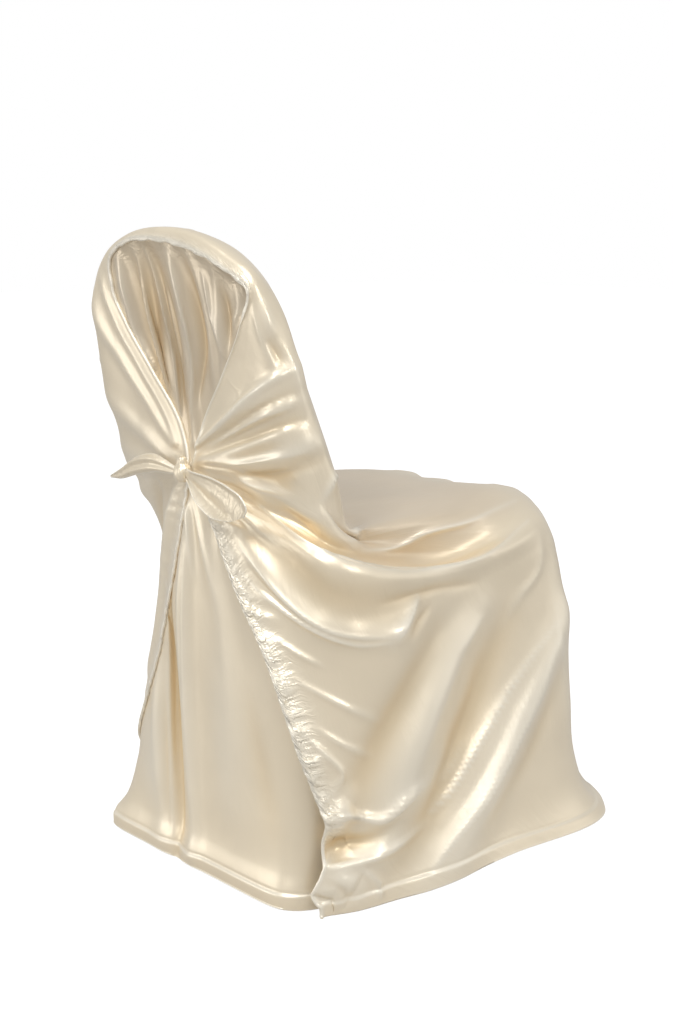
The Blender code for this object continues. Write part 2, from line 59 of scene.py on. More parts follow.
# The cover's sections, from the hem up, over the seat and up the hood to its crown.
# Columns: name, Y and Z of the front line, half width of the front.
FRONT_SECTIONS = [
    ("hem", -0.664, 0.000, 0.256),
    ("hem rise", -0.636, 0.035, 0.238),
    ("ankle", -0.616, 0.100, 0.222),
    ("shin", -0.612, 0.200, 0.214),
    ("calf", -0.607, 0.300, 0.211),
    ("knee", -0.597, 0.380, 0.209),
    ("thigh", -0.584, 0.440, 0.207),
    ("lower swag", -0.570, 0.476, 0.205),
    ("swag", -0.550, 0.500, 0.200),
    ("seat edge", -0.506, 0.516, 0.195),
    ("seat middle", -0.360, 0.521, 0.190),
    ("seat rear", -0.210, 0.513, 0.190),
    ("seat crease", -0.142, 0.512, 0.203),
    ("lumbar", -0.117, 0.580, 0.205),
    ("mid back", -0.090, 0.665, 0.196),
    ("upper back", -0.068, 0.750, 0.172),
    ("shoulder", -0.053, 0.812, 0.146),
    ("rim corner", -0.044, 0.850, 0.118),
    ("rim side", -0.035, 0.879, 0.086),
    ("rim top", -0.025, 0.899, 0.046),
    ("crown", -0.014, 0.910, 0.000),
]

# Each side's line of these sections, as distances out from the centre plane.
# Columns: side X and Z, rear corner X, Y and Z, rear edge X, Y and Z.
RIGHT_SECTIONS = [
    (0.284, 0.000, 0.272, -0.090, 0.000, 0.254, -0.026, 0.000),
    (0.272, 0.035, 0.268, -0.090, 0.035, 0.255, -0.030, 0.035),
    (0.262, 0.100, 0.268, -0.092, 0.090, 0.257, -0.032, 0.088),
    (0.252, 0.190, 0.267, -0.088, 0.170, 0.255, -0.024, 0.152),
    (0.245, 0.270, 0.264, -0.080, 0.238, 0.240, -0.002, 0.228),
    (0.241, 0.330, 0.260, -0.072, 0.296, 0.214, 0.004, 0.290),
    (0.240, 0.374, 0.256, -0.062, 0.348, 0.180, 0.008, 0.358),
    (0.243, 0.412, 0.252, -0.048, 0.410, 0.126, 0.010, 0.432),
    (0.246, 0.446, 0.242, -0.036, 0.492, 0.066, 0.007, 0.524),
    (0.211, 0.445, 0.228, -0.044, 0.510, 0.036, 0.003, 0.566),
    (0.190, 0.482, 0.218, -0.056, 0.528, 0.028, 0.004, 0.577),
    (0.194, 0.500, 0.217, -0.056, 0.550, 0.024, 0.004, 0.583),
    (0.210, 0.524, 0.214, -0.046, 0.575, 0.023, 0.004, 0.589),
    (0.222, 0.600, 0.212, -0.030, 0.620, 0.024, 0.004, 0.597),
    (0.217, 0.672, 0.208, -0.004, 0.684, 0.036, 0.002, 0.640),
    (0.208, 0.756, 0.204, 0.014, 0.760, 0.110, 0.018, 0.729),
    (0.194, 0.816, 0.196, 0.026, 0.814, 0.160, 0.031, 0.787),
    (0.170, 0.854, 0.189, 0.031, 0.852, 0.187, 0.037, 0.843),
    (0.130, 0.887, 0.142, 0.038, 0.884, 0.146, 0.043, 0.869),
    (0.070, 0.910, 0.078, 0.044, 0.908, 0.076, 0.048, 0.895),
    (0.000, 0.919, 0.000, 0.045, 0.917, 0.000, 0.050, 0.906),
]
LEFT_SECTIONS = [
    (0.262, 0.000, 0.258, -0.160, 0.000, 0.254, -0.100, 0.000),
    (0.256, 0.035, 0.248, -0.150, 0.035, 0.242, -0.096, 0.035),
    (0.246, 0.100, 0.228, -0.130, 0.100, 0.204, -0.068, 0.100),
    (0.236, 0.200, 0.208, -0.084, 0.186, 0.150, -0.010, 0.166),
    (0.228, 0.300, 0.208, -0.082, 0.288, 0.104, 0.002, 0.244),
    (0.222, 0.380, 0.205, -0.100, 0.368, 0.068, 0.005, 0.318),
    (0.218, 0.440, 0.201, -0.110, 0.428, 0.046, 0.007, 0.378),
    (0.217, 0.474, 0.200, -0.100, 0.470, 0.026, 0.006, 0.446),
    (0.214, 0.496, 0.201, -0.078, 0.504, 0.008, 0.005, 0.512),
    (0.205, 0.506, 0.204, -0.064, 0.528, -0.003, 0.003, 0.556),
    (0.198, 0.510, 0.208, -0.056, 0.546, -0.007, 0.004, 0.574),
    (0.204, 0.514, 0.211, -0.050, 0.562, -0.009, 0.004, 0.582),
    (0.213, 0.538, 0.212, -0.042, 0.582, -0.009, 0.004, 0.589),
    (0.220, 0.600, 0.213, -0.030, 0.622, -0.009, 0.004, 0.597),
    (0.216, 0.672, 0.209, -0.004, 0.684, 0.005, 0.002, 0.638),
    (0.206, 0.756, 0.203, 0.014, 0.760, 0.060, 0.017, 0.726),
    (0.192, 0.816, 0.193, 0.026, 0.814, 0.098, 0.030, 0.786),
    (0.167, 0.854, 0.174, 0.032, 0.850, 0.121, 0.038, 0.838),
    (0.128, 0.887, 0.136, 0.038, 0.884, 0.118, 0.043, 0.876),
    (0.069, 0.910, 0.074, 0.043, 0.909, 0.072, 0.048, 0.901),
    (0.000, 0.919, 0.000, 0.045, 0.917, 0.000, 0.050, 0.906),
]
CORNER_ROUND = 0.045
CORNER_FLARE_SHARE = 0.3
WING_SWELL = 0.04
HEM_LIFT = 0.0012

# How finely the cloth is divided, between stations round the cover and between sections up it.
HALF_STEPS = [34, 34, 40, 26, 8, 12]
STATION_STEPS = HALF_STEPS + HALF_STEPS[::-1]
SECTION_STEPS = [14, 12, 14, 14, 14, 16, 20, 22, 20, 16, 12, 8, 10, 19, 19, 18, 12, 10, 8, 8]

# Main folds of the cover. Stations count round it, from 0 at the left rear edge over 6 at the front line
# to 12 at the right rear edge, and sections count up it from 0 at the hem.
# Columns: name, path as (station, section), width at its start and end, height (below 0 for a trough).
COVER_FOLDS = [
    ("swag", [(11.9, 9.6), (11, 9.1), (10.3, 8.6), (9.7, 8.1), (9, 7.9), (8.2, 8.2)], 0.01, 0.015, 0.004),
    ("swag valley", [(11.6, 10.2), (10.6, 9.6), (9.8, 9), (9.1, 8.8), (8.5, 8.9)], 0.016, 0.022, -0.009),
    ("under swag", [(11.4, 8.6), (10.7, 7.9), (10, 7.4), (9.4, 7.2)], 0.016, 0.034, -0.01),
    ("lower swag", [(11.5, 8), (10.8, 7.2), (10.3, 6.9), (9.9, 6.7), (9.6, 6.5)], 0.012, 0.018, 0.006),
    ("lower swag tip", [(9.7, 6.5), (9.5, 6.8), (9.4, 7.3)], 0.014, 0.018, 0.004),
    ("wing top ridge", [(12, 13.7), (11.2, 14.1), (9.9, 14.3), (9, 14.8)], 0.007, 0.02, 0.005),
    ("wing top trough", [(12, 13.4), (10.8, 13.8), (9.8, 14)], 0.006, 0.016, -0.003),
    ("wing high ridge", [(12, 13), (10.7, 13.4), (9.2, 13.7)], 0.007, 0.022, 0.005),
    ("wing mid trough", [(12, 12.7), (10.9, 13), (9.8, 13.1)], 0.006, 0.018, -0.003),
    ("wing mid ridge", [(12, 12.4), (10.9, 12.6), (9.8, 12.5)], 0.007, 0.022, 0.005),
    ("wing low trough", [(12, 12), (11, 12.1), (9.9, 12)], 0.006, 0.018, -0.003),
    ("wing low ridge", [(12, 11.5), (11.1, 11.6), (10.4, 11.5), (9.6, 11.6)], 0.007, 0.022, 0.005),
    ("wing base ridge", [(12, 10.7), (11.1, 10.7), (10.2, 10.5), (9.3, 10.7)], 0.007, 0.02, 0.006),
    ("skirt band", [(8.1, 4.6), (8.6, 3.3), (8.95, 2.3), (9.3, 1.3), (9.6, 0.3)], 0.03, 0.046, 0.02),
    ("skirt band trough", [(8.7, 5), (9.05, 3.6), (9.4, 2.4), (9.7, 1.2)], 0.026, 0.032, -0.014),
    ("skirt soft ridge", [(8.9, 5.9), (9.4, 4.2), (9.8, 2.5), (10.1, 0.8)], 0.028, 0.038, 0.015),
    ("skirt soft trough", [(9.3, 5.9), (9.8, 3.9), (10.15, 2.3)], 0.026, 0.032, -0.011),
    ("front corner", [(8, 7.6), (8.1, 4), (7.9, 0.4)], 0.018, 0.026, 0.006),
    ("bunch top", [(12.1, 2.9), (11.4, 2.7), (10.6, 2.9)], 0.018, 0.022, 0.016),
    ("bunch hollow", [(12, 2.1), (11.3, 2), (10.8, 2.1)], 0.012, 0.016, -0.012),
    ("bunch foot", [(12.1, 1), (11.4, 1.2), (10.7, 0.8)], 0.022, 0.026, 0.018),
    ("left front corner", [(4, 7.6), (3.9, 4), (4.1, 0.4)], 0.018, 0.026, 0.006),
    ("left outer", [(1.1, 17), (0.6, 16.1), (0.4, 15.3), (0.3, 14.6), (0.2, 13.6)], 0.01, 0.008, 0.005),
    ("left wing side", [(2, 16.2), (1.3, 15.3), (0.8, 14.6), (0.3, 13.5)], 0.018, 0.008, 0.005),
    ("left wing mid", [(0, 12.6), (0.9, 13.3), (1.9, 13.9)], 0.007, 0.022, 0.006),
    ("left wing low", [(0, 12), (1, 12.1), (2.2, 12.2)], 0.007, 0.022, 0.006),
    ("left wing base", [(0, 11.2), (1, 11.1), (2.3, 10.6)], 0.007, 0.022, 0.006),
    ("left drape ridge", [(0.2, 9.8), (0.5, 8), (0.8, 6), (0.7, 4.2)], 0.008, 0.018, 0.01),
    ("left drape trough", [(0.9, 9.6), (1.2, 7.4), (1.3, 5.4)], 0.01, 0.018, -0.006),
    ("left swag", [(0.8, 9.9), (2, 8.8), (3, 8), (3.8, 8.4)], 0.012, 0.024, 0.006),
    ("left swag valley", [(1.4, 10.2), (2.2, 9.7), (3, 8.9), (3.6, 9)], 0.018, 0.03, -0.006),
    ("left skirt band", [(3.9, 4.8), (3.5, 3.2), (3.1, 1.9), (2.7, 0.4)], 0.03, 0.046, 0.018),
    ("left skirt trough", [(3.5, 5.2), (3.2, 3.8), (2.9, 2.4)], 0.026, 0.034, -0.012),
    ("left skirt ridge", [(3.2, 6.2), (2.7, 4.4), (2.3, 2.6), (2.1, 0.6)], 0.028, 0.04, 0.014),
    ("front left fold", [(5.3, 8.8), (5.2, 5), (5, 0.3)], 0.02, 0.042, 0.014),
    ("front left trough", [(5.7, 8), (5.6, 5), (5.5, 0.5)], 0.02, 0.038, -0.008),
    ("front middle fold", [(5.9, 8.7), (6, 4.5), (6.15, 0.3)], 0.02, 0.044, 0.013),
    ("front right trough", [(6.4, 8), (6.4, 5), (6.6, 0.5)], 0.02, 0.038, -0.008),
    ("front right fold", [(6.7, 8.8), (6.8, 5), (7, 0.3)], 0.02, 0.042, 0.014),
]

# Puckers along the elastic in the rear edges. Columns: from which section to which, how many, their
# shortest and longest reach in stations, their width and their height.
PUCKERS = [
    (2.6, 9.3, 70, 0.10, 0.34, 0.0030, 0.0030),
    (2.8, 8.8, 16, 0.35, 0.90, 0.0060, 0.0045),
]
LEFT_PUCKER_SHARE = 0.35

# Where the puckers start and which way they run in, and how unevenly they are placed, slanted, sized and
# widened.
PUCKER_EDGES = ((12.03, -1), (-0.03, 1))
PUCKER_JITTER = 0.4
PUCKER_SLANTS = (-0.16, 0.06)
PUCKER_STRENGTHS = (0.5, 1.2)
PUCKER_WIDENING = (0.8, 1.4)
PUCKER_SEED = 7

# How far a fold reaches in widths, and a sharp fold's slope, the roundness of its crest and its offset.
FOLD_REACH = 3.2
SHARP_SLOPE = 1.3
SHARP_ROUNDNESS = 0.03
SHARP_OFFSET = 0.17

# The rear panel. Columns: Z and Y of its middle, half width and forward turn of its left side edge,
# the same of its right side edge, how much lower than the middle the side edges are, and how
# sharply the side edges turn.
PANEL_SECTIONS = [
    (0.000, 0.004, 0.256, 0.100, 0.243, 0.085, 0.000, 14),
    (0.020, 0.006, 0.251, 0.100, 0.243, 0.085, 0.000, 13),
    (0.050, -0.002, 0.231, 0.095, 0.242, 0.085, 0.000, 12),
    (0.120, -0.005, 0.200, 0.085, 0.241, 0.085, 0.000, 10),
    (0.220, -0.004, 0.172, 0.062, 0.237, 0.080, 0.000, 6),
    (0.320, -0.001, 0.170, 0.066, 0.218, 0.050, 0.000, 3.5),
    (0.420, 0.000, 0.165, 0.070, 0.185, 0.045, 0.000, 3),
    (0.520, -0.004, 0.165, 0.054, 0.160, 0.036, 0.000, 3),
    (0.588, -0.014, 0.165, 0.026, 0.160, 0.022, 0.000, 3),
    (0.660, -0.002, 0.165, 0.020, 0.165, 0.020, 0.000, 3),
    (0.740, 0.013, 0.165, 0.012, 0.168, 0.012, 0.000, 4),
    (0.810, 0.027, 0.160, 0.012, 0.172, 0.012, 0.004, 4),
    (0.860, 0.035, 0.158, 0.012, 0.174, 0.014, 0.025, 4),
    (0.892, 0.039, 0.156, 0.012, 0.172, 0.016, 0.047, 4),
    (0.9145, 0.042, 0.154, 0.012, 0.170, 0.016, 0.0635, 4),
]
PANEL_COLUMNS = 150
PANEL_STEPS = 15
PANEL_DROP_SHARPNESS = 2.5

# How the panel is tucked under the wings: from which height, how far round they reach, how near counts,
# the gap, and how its points between the wings follow.
TUCK_HEIGHT = 0.13
TUCK_STATIONS = 1.9
TUCK_REACH = 0.005
TUCK_GAP = 0.0035
TUCK_ROUNDS = 400
TUCK_FADE = 0.999

# Folds of the rear panel. Columns: name, path as (X, Z), width at its start and end, height.
PANEL_FOLDS = [
    ("gather 1", [(-0.12, 0.87), (-0.115, 0.76), (-0.09, 0.68)], 0.01, 0.012, 0.006),
    ("gather 2", [(-0.07, 0.895), (-0.09, 0.8), (-0.08, 0.68)], 0.01, 0.012, 0.007),
    ("gather 3", [(-0.03, 0.9), (-0.035, 0.8), (-0.022, 0.63)], 0.01, 0.009, 0.007),
    ("dark trough", [(0.02, 0.9), (0.01, 0.78), (-0.005, 0.64)], 0.013, 0.01, -0.008),
    ("gather 4", [(0.052, 0.895), (0.042, 0.79), (0.012, 0.64)], 0.01, 0.009, 0.007),
    ("gather 5", [(0.095, 0.88), (0.085, 0.78), (0.04, 0.67)], 0.01, 0.009, 0.006),
    ("pleat right", [(-0.01, 0.54), (0.005, 0.38), (0.008, 0.2), (-0.002, 0.02)], 0.01, 0.018, 0.013),
    ("centre pleat", [(0.004, 0.54), (0.04, 0.38), (0.046, 0.2), (0.036, 0.01)], 0.008, 0.012, -0.014),
    ("pleat left", [(0.04, 0.42), (0.078, 0.3), (0.084, 0.16), (0.076, 0.02)], 0.012, 0.022, 0.008),
    ("right soft fold", [(-0.06, 0.5), (-0.09, 0.3), (-0.11, 0.08)], 0.016, 0.034, 0.005),
]

# The sash's tails. Columns: X, Y and Z of the upper edge, the same of the lower edge, and how far the
# middle stands out.
LEFT_TAIL_SECTIONS = [
    (-0.0071, 0.0255, 0.595, -0.0071, 0.0255, 0.584, 0.002),
    (0.0315, 0.0325, 0.609, 0.0315, 0.0305, 0.583, 0.009),
    (0.0705, 0.0335, 0.602, 0.0775, 0.0315, 0.574, 0.009),
    (0.1135, 0.0315, 0.581, 0.1205, 0.0305, 0.563, 0.005),
    (0.1495, 0.0285, 0.565, 0.1495, 0.0285, 0.561, 0.001),
]
RIGHT_TAIL_SECTIONS = [
    (-0.0342, 0.0245, 0.594, -0.0338, 0.0245, 0.582, 0.002),
    (-0.0665, 0.0355, 0.595, -0.0525, 0.0345, 0.574, -0.004),
    (-0.1095, 0.0415, 0.594, -0.0720, 0.0405, 0.559, -0.008),
    (-0.1505, 0.0425, 0.586, -0.0910, 0.0415, 0.547, -0.009),
    (-0.1775, 0.0405, 0.573, -0.1085, 0.0405, 0.539, -0.006),
    (-0.1840, 0.0385, 0.559, -0.1330, 0.0385, 0.537, -0.002),
    (-0.1765, 0.0375, 0.548, -0.1495, 0.0375, 0.539, 0.000),
]
TAIL_COLUMNS = 40
TAIL_STEPS = 24
TAIL_CREASE = 0.35
TAIL_GATHERS = (0.10, 0.55)

KNOT_CENTRE = (-0.0205, 0.0225, 0.588)
KNOT_RADII = (0.0135, 0.0110, 0.0145)

# The knot's outline as shares of its radii: distance from its axis, and height. Then how finely it is
# divided, and its wrapped ridges.
KNOT_PROFILE = [
    (0, -1),
    (0.62, -0.82),
    (1, -0.1),
    (0.88, 0.48),
    (0.6, 0.86),
    (0.55, 1.16),
    (0.42, 1.46),
    (0, 1.62),
]
KNOT_STEPS = 10
KNOT_COLUMNS = 96
KNOT_RIDGES = 7
KNOT_RIDGE_SHARE = 0.12
KNOT_TWIST = 1.4

FOLD_SAMPLES = 8

# The satin: its colour and gloss, its uneven shade, its ripples, its threads, and the gathers' wrinkles.
SATIN_COLOUR = (0.85, 0.745, 0.57)
SATIN_GLOSS = {"Roughness": 0.37, "Metallic": 0.50, "IOR": 1.7, "Sheen Weight": 0.15, "Sheen Roughness": 0.4}
SHADE_SCALE = 7.0
SHADE_DARK = 0.93
SHADE_RANGE = (0.3, 0.7)
RIPPLE_SCALE = 42.0
RIPPLE_STRETCH = 0.4
RIPPLE_DEPTH = 0.0007
THREAD_SCALE = 420.0
THREAD_STRENGTH = 0.15
THREAD_DEPTH = 0.0001
GATHER_SCALE = (34.0, 120.0, 1.0)
GATHER_DEPTH = 0.0065

# The studio: its floor, its even light, a far sun, and soft square lights, whose columns are name, place,
# side and power. Places are in the floor frame.
WHITE = (1.0, 1.0, 1.0, 1.0)
FLOOR_SIZE = 40.0
FLOOR_ROUGHNESS = 0.9
FLOOR_GLOW = 0.72
FLOOR_COLOUR = (0.55, 0.54, 0.53, 1.0)
WORLD_STRENGTH = 0.53
SUN_PLACE = (-0.8, 2.2, 1.9)
SUN_TARGET = (0.0, 0.0, 0.0)
SUN_ANGLE = math.radians(14)
SUN_STRENGTH = 0.9
LIT_POINT = (0.0, -0.25, 0.45)
SQUARE_LIGHTS = [
    ("top", (-0.9, 0.7, 2.5), 1.6, 24),
    ("side", (-2.4, -0.7, 1.7), 0.7, 10),
    ("front", (-2.0, -2.8, 0.4), 2.0, 7),
    ("left", (1.6, 2.6, 0.4), 1.6, 16),
]


def smooth_curve(points, steps, before=None, after=None):
    """Points along a smooth curve through the given ones, with steps[i] pieces in gap i.

    Rows of points are carried together: points has the shape (points, rows, 3).
    """
    first = 2 * points[0] - points[1] if before is None else before
    last = 2 * points[-1] - points[-2] if after is None else after
    full = np.concatenate([first[None], points, last[None]])
    gaps = np.linalg.norm(np.diff(full, axis=0), axis=-1, keepdims=True) + 1e-6
    slopes = np.diff(full, axis=0) / gaps
    tangents = (slopes[:-1] * gaps[1:] + slopes[1:] * gaps[:-1]) / (gaps[:-1] + gaps[1:])
    result = []
    for i, count in enumerate(steps):
        length = gaps[i + 1]
        for step in range(count):
            t = step / count
            result.append(
                (2 * t**3 - 3 * t**2 + 1) * points[i]
                + (t**3 - 2 * t**2 + t) * length * tangents[i]
                + (3 * t**2 - 2 * t**3) * points[i + 1]
                + (t**3 - t**2) * length * tangents[i + 1]
            )
    result.append(points[-1])
    return np.array(result)


def side_stations(front, side, sign):
    """The stations of one section on one side, from beside the front line to the rear edge."""
    _, front_y, front_z, front_half = front
    side_x, side_z, rear_x, rear_y, rear_z, edge_x, edge_y, edge_z = side
    turn = min(CORNER_ROUND, (rear_y - front_y) / 4, front_half / 2)
    flare = CORNER_FLARE_SHARE * (side_x - front_half)
    corner_in = (front_half - turn, front_y, front_z)
    corner_out = (front_half + flare, front_y + turn, (3 * front_z + side_z) / 4)
    middle = (side_x, (front_y + rear_y) / 2, side_z)
    rear = (rear_x, rear_y, rear_z)
    swell = WING_SWELL * abs(rear_x - edge_x)
    wing = ((rear_x + edge_x) / 2, (rear_y + edge_y) / 2 + swell, (rear_z + edge_z) / 2)
    edge = (edge_x, edge_y, edge_z)
    return [(sign * x, y, z) for x, y, z in (corner_in, corner_out, middle, rear, wing, edge)]


def cover_surface():
    """The cover's points as rows up it and columns round it, from the left rear edge to the right one."""
    net = []
    for front, right, left in zip(FRONT_SECTIONS, RIGHT_SECTIONS, LEFT_SECTIONS):
        front_line = (0.0, front[1], front[2])
        net.append(side_stations(front, left, 1)[::-1] + [front_line] + side_stations(front, right, -1))
    round_it = smooth_curve(np.array(net).transpose(1, 0, 2), STATION_STEPS).transpose(1, 0, 2)
    return smooth_curve(round_it, SECTION_STEPS, after=round_it[-2][::-1])


def places(steps):
    """The station or section number of each column or row of the fine grid."""
    ends = np.concatenate([[0], np.cumsum(steps)])
    return np.interp(np.arange(ends[-1] + 1), ends, np.arange(len(ends)))


def fold_path(path):
    """A dense line through a fold's few points."""
    return smooth_curve(np.array(path, float)[:, None, :], [FOLD_SAMPLES] * (len(path) - 1))[:, 0]


def point_at(grid, stations, sections, station, section):
    """The point of the cover at a place given in stations and sections."""
    column = float(np.interp(station, stations, np.arange(len(stations))))
    row = float(np.interp(section, sections, np.arange(len(sections))))
    j = min(int(column), grid.shape[1] - 2)
    i = min(int(row), grid.shape[0] - 2)
    across = column - j
    up = row - i
    low = grid[i, j] * (1 - across) + grid[i, j + 1] * across
    high = grid[i + 1, j] * (1 - across) + grid[i + 1, j + 1] * across
    return low * (1 - up) + high * up


def fold_height(points, line, start_width, end_width, height, end_fade=0.12, crisp=0.0):
    """How far a fold lifts each of the points: full along its middle, and fading at both ends.

    crisp goes from 0, a round fold, to 1, one with a sharp crest.
    """
    lift = np.zeros(len(points))
    reach = FOLD_REACH * max(start_width, end_width)
    near = np.all((points > line.min(axis=0) - reach) & (points < line.max(axis=0) + reach), axis=1)
    chosen = np.flatnonzero(near)
    if not len(chosen):
        return lift
    starts = line[:-1]
    spans = line[1:] - starts
    lengths = np.maximum((spans**2).sum(axis=1), 1e-12)
    best = np.full(len(chosen), np.inf)
    along = np.zeros(len(chosen))
    for i, (start, span) in enumerate(zip(starts, spans)):
        offset = points[chosen] - start
        share = np.clip(offset @ span / lengths[i], 0, 1)
        apart = np.linalg.norm(offset - share[:, None] * span, axis=1)
        closer = apart < best
        best[closer] = apart[closer]
        along[closer] = (i + share[closer]) / len(spans)
    width = start_width + (end_width - start_width) * along
    strength = np.sin(np.pi * (end_fade + (1 - 2 * end_fade) * along))
    scaled = best / width
    round_fold = np.exp(-(scaled**2))
    sharp_fold = np.exp(-SHARP_SLOPE * (np.sqrt(scaled**2 + SHARP_ROUNDNESS) - SHARP_OFFSET))
    lift[chosen] = height * strength * ((1 - crisp) * round_fold + crisp * sharp_fold)
    return lift


def outward(grid, side=1):
    """The direction out of the cloth at each point of a grid, where side is -1 if its columns run back."""
    across = np.gradient(grid, axis=1)
    up = np.gradient(grid, axis=0)
    normal = side * np.cross(up, across)
    return normal / (np.linalg.norm(normal, axis=-1, keepdims=True) + 1e-12)


def view_axes():
    """The photograph's camera as its right, down and forward directions."""
    azimuth = math.radians(CAMERA_AZIMUTH)
    pitch = math.radians(CAMERA_PITCH)
    forward = np.array(
        (
            -math.sin(azimuth) * math.cos(pitch),
            math.cos(azimuth) * math.cos(pitch),
            -math.sin(pitch),
        )
    )
    right = np.array((math.cos(azimuth), math.sin(azimuth), 0.0))
    down = np.cross(forward, right)
    return right, down, forward


def to_pixels(points):
    """Where points of the floor frame show in the photograph."""
    right, down, forward = view_axes()
    offset = points - CAMERA_PLACE
    depth = offset @ forward
    middle = np.array(IMAGE_SIZE) / 2
    return middle + LENS_PX * np.stack([offset @ right, offset @ down], axis=-1) / depth[..., None]


def facing(grid, normals):
    """How squarely each point of a grid faces the photograph's camera, from -1 to 1."""
    to_camera = CAMERA_PLACE - grid
    to_camera /= np.linalg.norm(to_camera, axis=-1, keepdims=True)
    return (normals * to_camera).sum(axis=-1)


def crease_lift(grid, normals, rows, allowed):
    """How far creases in the photograph's pixels lift each point of a grid, and where the crisp ones run as
    painted highlights.
    """
    pixels = to_pixels(grid)
    flat = np.concatenate([pixels, np.zeros(pixels.shape[:2] + (1,))], axis=-1).reshape(-1, 3)
    lift = np.zeros(len(flat))
    highlight_lines = np.zeros(len(flat))
    for _, path, start_width, end_width, height, crisp in rows:
        line = fold_path([(x, y, 0.0) for x, y in path])
        lift += fold_height(flat, line, start_width, end_width, height, CREASE_END_FADE, crisp)
        if crisp >= LINE_CRISPNESS:
            highlight_lines += fold_height(flat, line, LINE_SHARE * start_width, LINE_SHARE * end_width, 1.0)
    shown = np.clip(facing(grid, normals) / FULL_FACING, 0, 1) * allowed
    return lift.reshape(grid.shape[:2]) * shown, np.clip(highlight_lines, 0, 1).reshape(grid.shape[:2]) * shown


